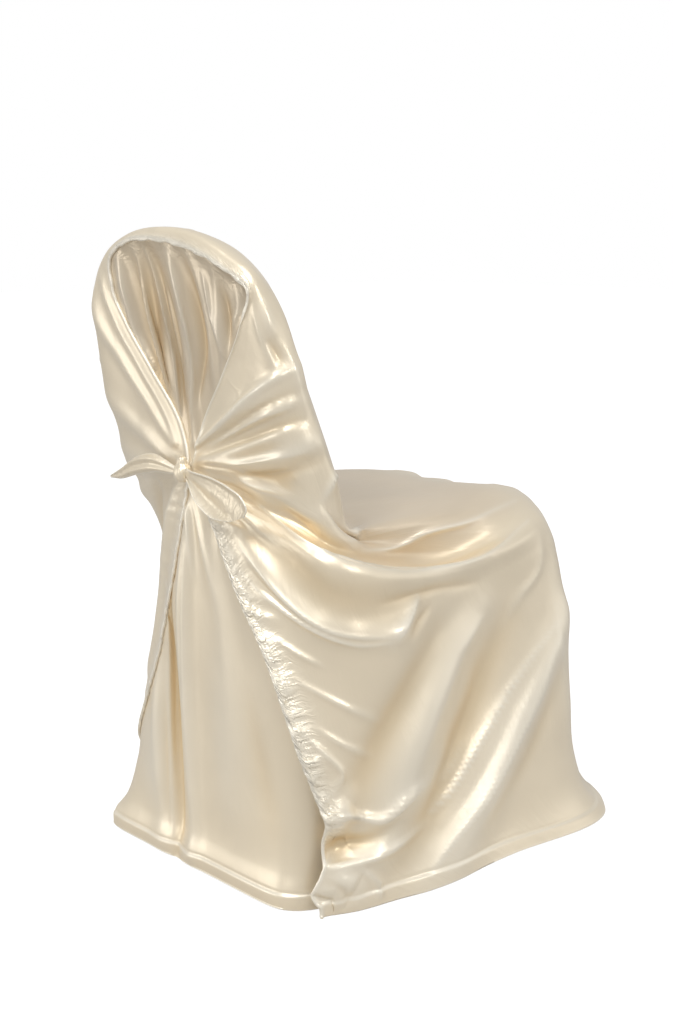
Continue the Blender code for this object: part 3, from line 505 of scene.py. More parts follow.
# Creases of the cover that show in the photograph, on its right side. Columns: name, path in the
# photograph's pixels, width at its start and end in pixels, height in metres (below 0 for a trough),
# crispness.
RIGHT_CREASES = [
    ("wing upper fold", [(188, 454), (222, 424), (252, 396), (276, 378), (300, 366)], 2.4, 7, 0.009, 0.1),
    ("wing upper dip", [(196, 456), (232, 430), (262, 408), (284, 396), (304, 388)], 1.8, 6, -0.005, 0.1),
    ("wing middle fold", [(190, 458), (230, 434), (258, 418), (282, 408), (304, 402)], 2.4, 6.5, 0.007, 0),
    ("wing middle dip", [(196, 459), (236, 443), (268, 431), (290, 423), (312, 418)], 1.8, 6, -0.005, 0.1),
    ("wing wide fold", [(204, 461), (240, 463), (276, 457), (300, 450), (326, 440)], 2.5, 12, 0.0095, 0),
    ("wing low dip", [(210, 468), (246, 476), (284, 474), (326, 456)], 2.5, 8, -0.007, 0.2),
    ("wing low fold", [(202, 467), (234, 474), (258, 488), (292, 500)], 2, 7, 0.0085, 0.3),
    ("wing foot dip", [(206, 478), (232, 488), (262, 506)], 2, 6, -0.006, 0.2),
    ("wing foot fold", [(204, 482), (224, 496), (250, 520), (286, 552)], 2, 7, 0.008, 0.3),
    ("wing streak", [(340, 456), (335, 476), (323, 500)], 2.5, 4.5, 0.0055, 0.8),
    ("hood patch", [(262, 300), (268, 322), (272, 340)], 6, 7, 0.004, 0.3),
    ("hood patch dip", [(266, 338), (276, 352), (284, 366)], 5, 5, -0.004, 0.3),
    ("hood long ridge", [(285, 340), (297, 379), (309, 424)], 4, 5, 0.003, 0.5),
    ("hood rear ridge", [(252, 306), (262, 340), (280, 380)], 3, 4, 0.003, 0.5),
    ("seat peak", [(351, 500), (353, 522), (356, 544)], 2, 7, 0.0095, 0.8),
    ("swag crest", [(256, 502), (280, 522), (300, 539), (325, 554), (350, 562), (400, 570), (450, 567),
                    (485, 556), (528, 521)], 2.2, 2.4, 0.0075, 0.9),
    ("swag valley line", [(262, 490), (292, 517), (320, 538), (352, 551), (392, 556), (436, 550)],
     6, 8, -0.008, 0.3),
    ("swag under edge", [(378, 604), (410, 596), (440, 588), (482, 582)], 4, 5, -0.004, 0.3),
    ("seat cloth edge", [(365, 549), (395, 548), (425, 533), (467, 522), (515, 501)], 2.4, 2.8, 0.006, 0.9),
    ("lower swag upper", [(240, 548), (262, 575), (280, 596), (300, 615), (327, 631), (358, 638), (390, 638)],
     2.4, 2.4, 0.0045, 0.8),
    ("lower swag dip", [(244, 562), (262, 584), (285, 606), (310, 624), (345, 639), (384, 642)],
     2.4, 2, -0.003, 0.3),
    ("lower swag lower", [(240, 572), (262, 594), (285, 612), (310, 628), (336, 640), (362, 646), (392, 643)],
     2.2, 2.4, 0.0045, 0.8),
    ("lower swag tip", [(394, 644), (404, 626), (419, 596)], 8, 2.5, 0.0085, 0.8),
    ("tip dip", [(412, 642), (418, 624), (430, 604)], 4, 3, -0.004, 0.3),
    ("corner drop", [(541, 532), (538, 570), (517, 600), (500, 630)], 3, 4, 0.003, 0.5),
    ("front drop", [(548, 560), (560, 640), (568, 740)], 4, 4, 0.0025, 0.5),
    ("skirt line", [(484, 612), (474, 632), (462, 655)], 4, 5, 0.002, 0.4),
    ("band left line", [(558, 622), (512, 686), (481, 741), (446, 796), (430, 812)], 3, 3, 0.0045, 0.8),
    ("band middle dip", [(556, 634), (526, 690), (497, 748), (462, 806), (436, 842)], 4, 6, -0.0025, 0.3),
    ("band right line", [(559, 640), (545, 686), (519, 741), (486, 802), (447, 852), (430, 876)],
     3, 3, 0.004, 0.8),
    ("band under dip", [(560, 660), (550, 700), (528, 756), (500, 808), (470, 850)], 5, 6, -0.0035, 0.3),
    ("short line", [(463, 738), (450, 768), (436, 786)], 3, 4, 0.0035, 0.6),
    ("broad ridge", [(446, 740), (424, 786), (404, 822)], 8, 9, 0.005, 0.3),
    ("pucker band 1", [(290, 678), (320, 694), (352, 710), (382, 722)], 3, 4, 0.005, 0.6),
    ("pucker band 2", [(316, 729), (345, 746), (374, 757)], 3, 4, 0.0045, 0.6),
    ("pucker band 3", [(300, 733), (326, 756), (342, 775), (328, 798)], 3, 4, 0.005, 0.6),
    ("pucker band 4", [(276, 640), (300, 655), (326, 668)], 2.5, 3, 0.004, 0.6),
    ("roll ridge", [(322, 816), (355, 817), (384, 820), (406, 800), (424, 780)], 4, 5, 0.011, 0.5),
    ("roll dip", [(318, 842), (350, 843), (380, 836), (408, 814)], 7, 6, -0.0095, 0.1),
    ("roll foot", [(324, 869), (355, 864), (384, 853), (426, 822)], 4, 4, 0.01, 0.5),
    ("bunch left", [(320, 862), (313, 886), (327, 908)], 4, 4, 0.007, 0.5),
    ("bunch right", [(358, 868), (378, 884), (376, 904)], 3, 3, 0.007, 0.6),
    ("bunch dip", [(330, 880), (344, 890), (350, 906)], 5, 5, -0.0055, 0.2),
]

# Creases of the rear panel, in the same columns.
PANEL_CREASES = [
    ("left bright gather", [(119, 250), (126, 290), (138, 332)], 4, 4, 0.006, 0.4),
    ("left rim gather", [(112, 268), (122, 306), (142, 346), (166, 392), (182, 430)], 3, 3, 0.004, 0.4),
    ("olive dip", [(140, 250), (150, 310), (162, 370), (180, 430)], 12, 4, -0.012, 0),
    ("long ridge", [(146, 240), (162, 300), (175, 354), (182, 426)], 3, 2.2, 0.0075, 0.7),
    ("long dip", [(156, 250), (170, 306), (180, 360), (185, 424)], 4, 2.5, -0.0065, 0.2),
    ("middle ridge", [(166, 243), (180, 300), (193, 356), (194, 416)], 3.5, 2.5, 0.007, 0.5),
    ("middle dip", [(184, 256), (196, 306), (203, 350), (198, 404)], 6, 3, -0.008, 0.1),
    ("bright ridge", [(203, 268), (214, 312), (227, 358)], 4, 3.5, 0.0085, 0.5),
    ("right dip", [(218, 280), (230, 318), (234, 346)], 5, 3, -0.0065, 0.1),
    ("corner ridge", [(236, 284), (241, 312), (238, 330)], 4, 3, 0.0045, 0.3),
    ("knot gather 1", [(190, 486), (192, 530), (196, 580)], 2, 4, 0.004, 0.6),
    ("knot gather 2", [(184, 488), (182, 530), (174, 600), (170, 680), (170, 760), (175, 850)],
     2, 3.5, 0.005, 0.7),
    ("knot gather 3", [(197, 486), (205, 540), (218, 610)], 2, 5, 0.0035, 0.5),
    ("pleat shade", [(188, 520), (180, 600), (177, 690), (178, 770), (184, 850)], 3, 4, -0.005, 0.3),
    ("hem corner flick", [(112, 828), (118, 806), (124, 784)], 2.5, 3, 0.004, 0.6),
    ("left bright", [(150, 690), (152, 760), (156, 815)], 9, 11, 0.005, 0.2),
    ("left dip", [(166, 690), (166, 760), (168, 830)], 4, 4, -0.0045, 0.3),
    ("soft fold", [(214, 640), (222, 740), (232, 840)], 9, 12, 0.003, 0.2),
    ("soft fold dip", [(248, 690), (262, 770), (276, 850)], 9, 12, -0.003, 0.2),
]

# The rolled edges' radii, how finely and how far round they roll, the rim's scallops, and the turned hem:
# its height, thickness and stitched line.
EDGE_ROLL = 0.0024
FOOT_ROLL = 0.0014
TAIL_ROLL = 0.0013
ROLL_STEPS = 8
ROLL_TURN = math.radians(290)
SCALLOP_SECTION = 16.8
SCALLOP_HEIGHT = 0.0030
SCALLOP_WAVES = [(0.6, 0.043), (0.4, 0.027)]
SCALLOP_COLUMNS = 12
HEM_HEIGHT = 0.024
HEM_THICK = 0.0022
STITCH_WIDTH = 0.0022
STITCH_DEPTH = 0.0017

# The bunch that the rolled fold makes over the hem: its station and section, its spread in each, and how
# far it stands out.
BUNCH_PLACE = (12.0, 1.05)
BUNCH_SPREAD = (0.55, 0.50)
BUNCH_SHIFT = (0.0125, 0.0140, 0.0)

# The sections with fine gathers along the elastic below the knot, how softly they end, how far in they
# reach there and at the rim, and how strong they are at the rim and in the left edge. Then how far down
# they reach at the top of the panel.
GATHER_SECTIONS = (2.3, 8.7)
GATHER_BLEND = 0.2
GATHER_REACH = 0.027
RIM_GATHER_REACH = 0.009
RIM_GATHER_SHARE = 0.35
LEFT_GATHER_SHARE = 0.5
PANEL_GATHER_FROM = 0.030

# Painted light of the folds: painted shade with warm bounce light in a deep fold, and painted highlights that
# make a crest and an edge paler. Then the fold height that counts as full, and how much a main fold counts
# beside a crease.
DEEP_FOLD_SHADE = (0.92, 0.83, 0.68)
CREST_HIGHLIGHT = (1.06, 1.11, 1.20)
EDGE_HIGHLIGHT = (1.10, 1.17, 1.30)
FULL_FOLD = 0.008
MAIN_FOLD_LIGHT_SHARE = 0.5

# How far in an edge has a painted highlight and is lifted, and how high it is lifted.
EDGE_REACH = 0.0035
EDGE_LIFT = 0.0016

# A crease this crisp or more also gets a painted highlight along it, with this share of its width, and this
# strong.
LINE_CRISPNESS = 0.8
LINE_SHARE = 0.8
LINE_HIGHLIGHT = 0.7

# How weak creases are at their ends, and how squarely the cloth faces the camera where they are full.
# The right side's start at a station. The hidden left side mirrors the soft ones, more weakly, up to
# a station, the further it is turned away, and not at the heights of the seat's edge.
CREASE_END_FADE = 0.03
FULL_FACING = 0.25
RIGHT_FROM_STATION = 7.2
LEFT_TO_STATION = 4.8
LEFT_CREASE_SHARE = 0.4
HIDDEN_SLOPE = 4
HIDDEN_OFFSET = 0.6
LEFT_SEAT_HEIGHTS = (0.40, 0.60)
HEIGHT_BLEND = 0.02

# The hood's left side is drawn in: around which station, how widely, between which heights, how far.
SLIM_STATION = 2.0
SLIM_STATIONS = 1.6
SLIM_HEIGHTS = (0.64, 0.87)
SLIM_SHIFT = -0.0075

# The panel's right side runs on under the rim's corner: between which heights, how near its edge, how far.
CORNER_HEIGHTS = (0.800, 0.862)
CORNER_SHARPNESS = 12
CORNER_SHIFT = (-0.014, -0.003, 0.0)

# The painted shade on the seat and the sections and stations that it covers, then the painted shade that the
# gathered top of the panel has under the wings, and the heights where it sets in.
SEAT_SHADE = (0.93, 0.90, 0.89)
SEAT_SECTIONS = (9.2, 12.2)
SEAT_STATIONS = (2.6, 9.6)
SEAT_BLEND = 0.15
PANEL_SHADE = (0.79, 0.76, 0.73)
PANEL_SHADE_HEIGHTS = (0.56, 0.66)


def edge_puckers(random):
    """Short uneven ridges that run in from the elastic in both rear edges, fine ones and a few long ones."""
    folds = []
    for low, high, count, shortest, longest, width, height in PUCKERS:
        for i in range(count):
            for edge, inward in PUCKER_EDGES:
                jitter = random.uniform(-PUCKER_JITTER, PUCKER_JITTER)
                section = low + (high - low) * (i + jitter) / (count - 1)
                reach = inward * random.uniform(shortest, longest)
                slant = random.uniform(*PUCKER_SLANTS) * abs(reach)
                middle = (edge + 0.5 * reach, section + 0.4 * slant)
                path = [(edge, section), middle, (edge + reach, section + slant)]
                share = random.uniform(*PUCKER_STRENGTHS) * (1.0 if inward < 0 else LEFT_PUCKER_SHARE)
                start, end = PUCKER_WIDENING
                folds.append(("pucker", path, start * width, end * width, height * share))
    return folds


def rolled(edge, inner, normals, radius):
    """Points that carry on past an edge of a cloth and roll in under it, a row for each step."""
    away = edge - inner
    away /= np.linalg.norm(away, axis=-1, keepdims=True) + 1e-12
    rows = []
    for angle in np.linspace(0, ROLL_TURN, ROLL_STEPS + 1)[1:]:
        rows.append(edge + radius * (away * math.sin(angle) - normals * (1 - math.cos(angle))))
    return np.array(rows)


def scalloped(grid, sections, random):
    """The cover's points, with its rim drawn into small uneven scallops by the gathers."""
    rim = sections > SCALLOP_SECTION
    for edge, inner in ((0, 1), (-1, -2)):
        away = grid[:, edge] - grid[:, inner]
        away /= np.linalg.norm(away, axis=-1, keepdims=True) + 1e-12
        along = np.concatenate([[0], np.cumsum(np.linalg.norm(np.diff(grid[:, edge], axis=0), axis=-1))])
        wave = np.zeros(len(along))
        for share, length in SCALLOP_WAVES:
            phase = random.uniform(0, 2 * math.pi)
            wave += share * (0.5 + 0.5 * np.sin(2 * math.pi * along / length + phase))
        for k in range(SCALLOP_COLUMNS):
            column = k if edge == 0 else -1 - k
            drawn = wave * rim * (1 - k / SCALLOP_COLUMNS) ** 2
            grid[:, column] += (away * drawn[:, None]) * SCALLOP_HEIGHT
    return grid


def with_rolled_edges(grid, side=1, edge_roll=None, foot_roll=None):
    """A grid of points whose side edges and foot are rolled in, each round its own radius if it has one."""
    if foot_roll:
        normals = outward(grid, side)
        below = rolled(grid[0], grid[1], normals[0], foot_roll)[::-1]
        below[..., 2] = np.maximum(below[..., 2], HEM_LIFT)
        grid = np.concatenate([below, grid])
    if edge_roll:
        normals = outward(grid, side)
        first = rolled(grid[:, 0], grid[:, 1], normals[:, 0], edge_roll)[::-1].transpose(1, 0, 2)
        last = rolled(grid[:, -1], grid[:, -2], normals[:, -1], edge_roll).transpose(1, 0, 2)
        grid = np.concatenate([first, grid, last], axis=1)
    return grid


def like_grid(values, grid):
    """Values for a cloth's points, carried on over its rolled edges."""
    below = grid.shape[0] - values.shape[0]
    beside = (grid.shape[1] - values.shape[1]) // 2
    return np.pad(values, [(below, 0), (beside, beside)] + [(0, 0)] * (values.ndim - 2), mode="edge")


def row_lengths(grid):
    """How far along its row each point of a grid is."""
    steps = np.linalg.norm(np.diff(grid, axis=1), axis=-1)
    return np.concatenate([np.zeros((grid.shape[0], 1)), np.cumsum(steps, axis=1)], axis=1)


def column_lengths(grid):
    """How far up its column each point of a grid is."""
    steps = np.linalg.norm(np.diff(grid, axis=0), axis=-1)
    return np.concatenate([np.zeros((1, grid.shape[1])), np.cumsum(steps, axis=0)])


def painted_fold_light(lift):
    """The painted shade and highlight of each point of a cloth, by how far the folds lift it."""
    depth = np.clip(lift / FULL_FOLD, -1, 1)[..., None]
    deep = np.maximum(-depth, 0) * (np.array(DEEP_FOLD_SHADE) - 1)
    crest = np.maximum(depth, 0) * (np.array(CREST_HIGHLIGHT) - 1)
    return 1 + deep + crest


def edge_closeness(grid):
    """How close each point of a cloth is to its side edges: 1 at them, and fading inside."""
    along = row_lengths(grid)
    nearest = np.minimum(along, along[:, -1:] - along)
    return np.exp(-((nearest / EDGE_REACH) ** 2))[..., None]


def between(values, limits, blend):
    """How far values lie between two limits, from 0 to 1, with soft ends."""
    low, high = limits
    return 1 / (1 + np.exp((low - values) / blend)) / (1 + np.exp((values - high) / blend))


def cover_gathers(grid, sections):
    """How strongly the elastic gathers the cover at each of its points, from 0 to 1."""
    along = row_lengths(grid)
    below = between(sections, GATHER_SECTIONS, GATHER_BLEND)
    rim = RIM_GATHER_SHARE / (1 + np.exp(-(sections - SCALLOP_SECTION) / GATHER_BLEND))
    gathers = np.zeros(grid.shape[:2])
    for share, apart in ((LEFT_GATHER_SHARE, along), (1.0, along[:, -1:] - along)):
        gathers += share * below[:, None] * np.exp(-((apart / GATHER_REACH) ** 2))
        gathers += rim[:, None] * np.exp(-((apart / RIM_GATHER_REACH) ** 2))
    return np.clip(gathers, 0, 1)


def hem_lift(grid):
    """How far the turned hem stands out of the cloth, with the sunk line of its stitches."""
    height = column_lengths(grid)
    inside = 1 / (1 + np.exp((height - HEM_HEIGHT) / (STITCH_WIDTH / 2)))
    stitch = np.exp(-(((height - HEM_HEIGHT) / STITCH_WIDTH) ** 2))
    return HEM_THICK * inside - STITCH_DEPTH * stitch


def hem_line(grid):
    """Where the stitched top of the turned hem and its foot catch the light, from 0 to 1."""
    height = column_lengths(grid)
    top = np.exp(-(((height - HEM_HEIGHT + STITCH_WIDTH) / STITCH_WIDTH) ** 2))
    return np.maximum(top, np.exp(-((height / STITCH_WIDTH) ** 2)))


def cloth_object(name, grid, material, painted_light=None, gathers=None, crown=False):
    """A sheet of cloth from a grid of points, with its lengths in metres as UV, its painted shade and
    highlights, and its gathers.
    """
    rows, columns = grid.shape[:2]
    index = np.arange(rows * columns).reshape(rows, columns)
    corners = [index[:-1, :-1], index[:-1, 1:], index[1:, 1:], index[1:, :-1]]
    faces = np.stack(corners, axis=-1).reshape(-1, 4)
    mesh = bpy.data.meshes.new(name)
    mesh.from_pydata((grid - HOLD_POINT).reshape(-1, 3).tolist(), [], faces.tolist())
    along = row_lengths(grid)
    u = along - along[:, columns // 2, None]
    places_of = np.stack([u, column_lengths(grid)], axis=-1).reshape(-1, 2)
    layer = mesh.uv_layers.new(name="cloth")
    layer.data.foreach_set("uv", places_of[faces.reshape(-1)].astype(np.float32).ravel())
    painted_light = np.ones((rows, columns, 3)) if painted_light is None else like_grid(painted_light, grid)
    gathers = np.zeros((rows, columns)) if gathers is None else like_grid(gathers, grid)
    colours = np.concatenate([painted_light, np.ones((rows, columns, 1))], axis=-1)
    mesh.attributes.new("painted_light", "FLOAT_COLOR", "POINT").data.foreach_set("color", colours.ravel())
    mesh.attributes.new("gathers", "FLOAT", "POINT").data.foreach_set("value", gathers.ravel())
    if crown:
        shape = bmesh.new()
        shape.from_mesh(mesh)
        shape.verts.ensure_lookup_table()
        top = [shape.verts[i] for i in index[-1]]
        bmesh.ops.remove_doubles(shape, verts=top, dist=0.0001)
        shape.to_mesh(mesh)
        shape.free()
    mesh.shade_smooth()
    mesh.materials.append(material)
    piece = bpy.data.objects.new(name, mesh)
    bpy.context.scene.collection.objects.link(piece)
    return piece


def add_node(owner, kind, **settings):
    """A new node in a material or world, with its inputs set by name and its other settings by attribute."""
    node = owner.node_tree.nodes.new(kind)
    for name, value in settings.items():
        label = name.replace("_", " ").capitalize()
        if label in node.inputs:
            node.inputs[label].default_value = value
        else:
            setattr(node, name, value)
    return node


def gather_height(material, place):
    """The height of the fine gathers at the elastic: wrinkles across it that fade away from it."""
    links = material.node_tree.links
    stretch = add_node(material, "ShaderNodeMapping")
    stretch.inputs["Scale"].default_value = GATHER_SCALE
    links.new(place, stretch.inputs["Vector"])
    wrinkles = add_node(material, "ShaderNodeTexNoise", scale=1.0, detail=2.0, distortion=0.8)
    links.new(stretch.outputs[0], wrinkles.inputs["Vector"])
    centred = add_node(material, "ShaderNodeMath", operation="SUBTRACT")
    centred.inputs[1].default_value = 0.5
    links.new(wrinkles.outputs[0], centred.inputs[0])
    strength = add_node(material, "ShaderNodeAttribute", attribute_name="gathers")
    height = add_node(material, "ShaderNodeMath", operation="MULTIPLY")
    links.new(centred.outputs[0], height.inputs[0])
    links.new(strength.outputs["Fac"], height.inputs[1])
    return height.outputs[0]


def satin(name, colour):
    """Shiny satin: a soft metallic gloss over fine threads, with faint ripples and uneven shade."""
    material = bpy.data.materials.new(name)
    material.use_nodes = True
    links = material.node_tree.links
    shader = material.node_tree.nodes["Principled BSDF"]
    for socket, value in SATIN_GLOSS.items():
        shader.inputs[socket].default_value = value
    place = add_node(material, "ShaderNodeUVMap", uv_map="cloth")
    stretch = add_node(material, "ShaderNodeMapping")
    stretch.inputs["Scale"].default_value = (1.0, RIPPLE_STRETCH, 1.0)
    links.new(place.outputs[0], stretch.inputs["Vector"])
    shade = add_node(material, "ShaderNodeTexNoise", scale=SHADE_SCALE, detail=2.0)
    links.new(place.outputs[0], shade.inputs["Vector"])
    ramp = add_node(material, "ShaderNodeValToRGB")
    for element, position, share in zip(ramp.color_ramp.elements, SHADE_RANGE, (SHADE_DARK, 1.0)):
        element.position = position
        element.color = (*[channel * share for channel in colour], 1.0)
    links.new(shade.outputs[0], ramp.inputs[0])
    # The painted shade and highlights that each point carries, multiplied into the colour.
    painted_light = add_node(material, "ShaderNodeAttribute", attribute_name="painted_light")
    colour_with_painted_light = add_node(material, "ShaderNodeVectorMath", operation="MULTIPLY")
    links.new(ramp.outputs[0], colour_with_painted_light.inputs[0])
    links.new(painted_light.outputs["Color"], colour_with_painted_light.inputs[1])
    links.new(colour_with_painted_light.outputs[0], shader.inputs["Base Color"])
    ripple = add_node(material, "ShaderNodeTexNoise", scale=RIPPLE_SCALE, detail=3.0, distortion=0.5)
    links.new(stretch.outputs[0], ripple.inputs["Vector"])
    soft = add_node(material, "ShaderNodeBump", strength=1.0, distance=RIPPLE_DEPTH)
    links.new(ripple.outputs[0], soft.inputs["Height"])
    gathered = add_node(material, "ShaderNodeBump", strength=1.0, distance=GATHER_DEPTH)
    links.new(gather_height(material, place.outputs[0]), gathered.inputs["Height"])
    links.new(soft.outputs[0], gathered.inputs["Normal"])
    threads = add_node(material, "ShaderNodeTexWave", scale=THREAD_SCALE, distortion=0.6)
    threads.bands_direction = "DIAGONAL"
    links.new(place.outputs[0], threads.inputs["Vector"])
    weave = add_node(material, "ShaderNodeBump", strength=THREAD_STRENGTH, distance=THREAD_DEPTH)
    links.new(threads.outputs[1], weave.inputs["Height"])
    links.new(gathered.outputs[0], weave.inputs["Normal"])
    links.new(weave.outputs[0], shader.inputs["Normal"])
    return material


def folded_cover():
    """The cover's fine grid, with its main folds and creases raised, its painted shade and highlights, and
    its gathers.
    """
    random = np.random.default_rng(PUCKER_SEED)
    stations = places(STATION_STEPS)
    sections = places(SECTION_STEPS)
    grid = cover_surface()
    points = grid.reshape(-1, 3)
    folds = np.zeros(len(points))
    for _, path, start_width, end_width, height in COVER_FOLDS + edge_puckers(random):
        line = np.array([point_at(grid, stations, sections, *place) for place in fold_path(path)])
        folds += fold_height(points, line, start_width, end_width, height)
    grid = grid + outward(grid) * folds.reshape(grid.shape[:2])[..., None]
    normals = outward(grid)
    right_side = (stations[None, :] > RIGHT_FROM_STATION) * np.ones((len(sections), 1))
    lift, highlight_lines = crease_lift(grid, normals, RIGHT_CREASES, right_side)
    mirrored = grid * (-1, 1, 1)
    turned = np.clip(-HIDDEN_SLOPE * facing(grid, normals) - HIDDEN_OFFSET, 0, 1)
    hidden = LEFT_CREASE_SHARE * turned * (stations[None, :] < LEFT_TO_STATION)
    hidden = hidden * (1 - between(grid[..., 2], LEFT_SEAT_HEIGHTS, HEIGHT_BLEND))
    soft_creases = [row for row in RIGHT_CREASES if row[-1] < LINE_CRISPNESS]
    lift += crease_lift(mirrored, normals * (-1, 1, 1), soft_creases, hidden)[0]
    gathers = cover_gathers(grid, sections)
    edges = edge_closeness(grid)
    seat = between(sections, SEAT_SECTIONS, SEAT_BLEND)[:, None]
    seat = seat * between(stations, SEAT_STATIONS, SEAT_BLEND)
    # Painted shade with warm bounce light in troughs, painted highlights on crests and on the gathered
    # elastic.
    painted_light = painted_fold_light(lift + MAIN_FOLD_LIGHT_SHARE * folds.reshape(lift.shape) + FULL_FOLD * gathers)
    # Painted shade on the seat's top.
    painted_light *= 1 - seat[..., None] * (1 - np.array(SEAT_SHADE))
    # Painted highlights: on the side edges, along the crisp creases, and on the hem's stitched top and foot.
    pale = np.maximum(edges[..., 0], LINE_HIGHLIGHT * np.maximum(highlight_lines, hem_line(grid)))[..., None]
    painted_light += pale * (np.array(EDGE_HIGHLIGHT) - painted_light)
    grid = grid + normals * ((lift + hem_lift(grid))[..., None] + EDGE_LIFT * edges)
    across = (stations[None, :] - BUNCH_PLACE[0]) / BUNCH_SPREAD[0]
    up = (sections[:, None] - BUNCH_PLACE[1]) / BUNCH_SPREAD[1]
    grid = grid + np.exp(-(np.hypot(across, up) ** 2))[..., None] * BUNCH_SHIFT
    near = np.exp(-(((stations - SLIM_STATION) / SLIM_STATIONS) ** 2))
    grid[..., 0] += SLIM_SHIFT * (near * between(grid[..., 2], SLIM_HEIGHTS, HEIGHT_BLEND))
    grid[..., 2] = np.maximum(grid[..., 2], HEM_LIFT)
    grid = scalloped(grid, sections, random)
    crown = (grid[-1] + grid[-1, ::-1]) / 2
    grid[-1] = crown * (0, 1, 1)
    return grid, painted_light, gathers


def tucked_under(grid, cover_grid):
    """The panel's points, laid against the wings that lie over them, and eased towards them between."""
    stations = places(STATION_STEPS)
    over = (stations < TUCK_STATIONS) | (stations > len(STATION_STEPS) - TUCK_STATIONS)
    wings = cover_grid[:, over].reshape(-1, 3)
    tree = kdtree.KDTree(len(wings))
    for i, (x, _, z) in enumerate(wings):
        tree.insert((x, 0.0, z), i)
    tree.balance()
    shift = np.zeros(grid.shape[:2])
    covered = np.zeros(grid.shape[:2], bool)
    for i, row in enumerate(grid):
        for j, point in enumerate(row):
            if point[2] < TUCK_HEIGHT:
                continue
            _, nearest, apart = tree.find((point[0], 0.0, point[2]))
            if apart < TUCK_REACH:
                covered[i, j] = True
                shift[i, j] = wings[nearest, 1] - TUCK_GAP - point[1]
    foot = grid[..., 2] < TUCK_HEIGHT
    for _ in range(TUCK_ROUNDS):
        around = shift.copy()
        around[1:-1, 1:-1] = (shift[:-2, 1:-1] + shift[2:, 1:-1] + shift[1:-1, :-2] + shift[1:-1, 2:]) / 4
        shift = np.where(covered | foot, shift, TUCK_FADE * around)
    grid[..., 1] += shift
    return grid


def panel_cloth(cover_grid):
    """The panel that hangs from the rim at the back, gathered there and pleated at its middle."""
    net = []
    for z, y, left_half, left_turn, right_half, right_turn, drop, sharpness in PANEL_SECTIONS:
        across = 1 - 2 * np.arange(PANEL_COLUMNS + 1) / PANEL_COLUMNS
        half = np.where(across > 0, left_half, right_half)
        turn = np.where(across > 0, left_turn, right_turn)
        forward = turn * np.abs(across) ** sharpness
        lower = drop * np.abs(across) ** PANEL_DROP_SHARPNESS
        net.append(np.stack([half * across, y - forward, z - lower], axis=-1))
    grid = smooth_curve(np.array(net), [PANEL_STEPS] * (len(net) - 1))
    points = grid.reshape(-1, 3)
    lift = np.zeros(len(points))
    for _, path, start_width, end_width, height in PANEL_FOLDS:
        line = fold_path([(x, 0.0, z) for x, z in path])
        lift += fold_height(points * (1, 0, 1), line, start_width, end_width, height)
    grid[..., 1] += lift.reshape(grid.shape[:2])
    normals = outward(grid, -1)
    creases, highlight_lines = crease_lift(grid, normals, PANEL_CREASES, 1.0)
    low, high = PANEL_SHADE_HEIGHTS
    shaded = np.clip((grid[..., 2] - low) / (high - low), 0, 1)[..., None]
    # Painted shade in the panel's troughs and painted highlights on its crests.
    painted_light = painted_fold_light(creases + MAIN_FOLD_LIGHT_SHARE * lift.reshape(creases.shape))
    # Painted shade on the gathered top of the panel, under the wings.
    painted_light = painted_light * (1 - shaded * (1 - np.array(PANEL_SHADE)))
    # Painted highlight along the hem's stitched top and foot.
    painted_light += (LINE_HIGHLIGHT * hem_line(grid))[..., None] * (np.array(EDGE_HIGHLIGHT) - painted_light)
    gathers = RIM_GATHER_SHARE * np.exp(-(((grid[-1:, :, 2] - grid[..., 2]) / PANEL_GATHER_FROM) ** 2))
    grid = grid + normals * (creases + hem_lift(grid))[..., None]
    grid = tucked_under(grid, cover_grid)
    side = np.abs(np.linspace(1, -1, grid.shape[1])) ** CORNER_SHARPNESS
    corner = between(grid[..., 2], CORNER_HEIGHTS, HEIGHT_BLEND) * side * (grid[..., 0] < 0)
    grid += corner[..., None] * CORNER_SHIFT
    grid[..., 2] = np.maximum(grid[..., 2], HEM_LIFT)
    grid = with_rolled_edges(grid, side=-1, foot_roll=FOOT_ROLL)
    return cloth_object("panel_cloth", grid, satin("panel satin", SATIN_COLOUR), painted_light, gathers)


def sash_tail(name, sections):
    """A free end of the sash: a cupped strip that opens out from the knot."""
    net = []
    for upper_x, upper_y, upper_z, lower_x, lower_y, lower_z, bulge in sections:
        share = np.arange(TAIL_COLUMNS + 1)[:, None] / TAIL_COLUMNS
        upper = np.array((upper_x, upper_y, upper_z))
        lower = np.array((lower_x, lower_y, lower_z))
        out = bulge * (np.sin(math.pi * share) + TAIL_CREASE * np.sin(3 * math.pi * share))
        net.append(upper + (lower - upper) * share + out * np.array((0.0, 1.0, 0.0)))
    grid = smooth_curve(np.array(net), [TAIL_STEPS] * (len(net) - 1))
    # Painted highlight along the tail's edges.
    painted_light = 1 + edge_closeness(grid) * (np.array(EDGE_HIGHLIGHT) - 1)
    along = np.linspace(0, 1, grid.shape[0])[:, None] ** 2
    gathers = TAIL_GATHERS[0] + (TAIL_GATHERS[1] - TAIL_GATHERS[0]) * along * np.ones((1, grid.shape[1]))
    grid = with_rolled_edges(grid, edge_roll=TAIL_ROLL)
    return cloth_object(name, grid, satin("sash satin", SATIN_COLOUR), painted_light, gathers)


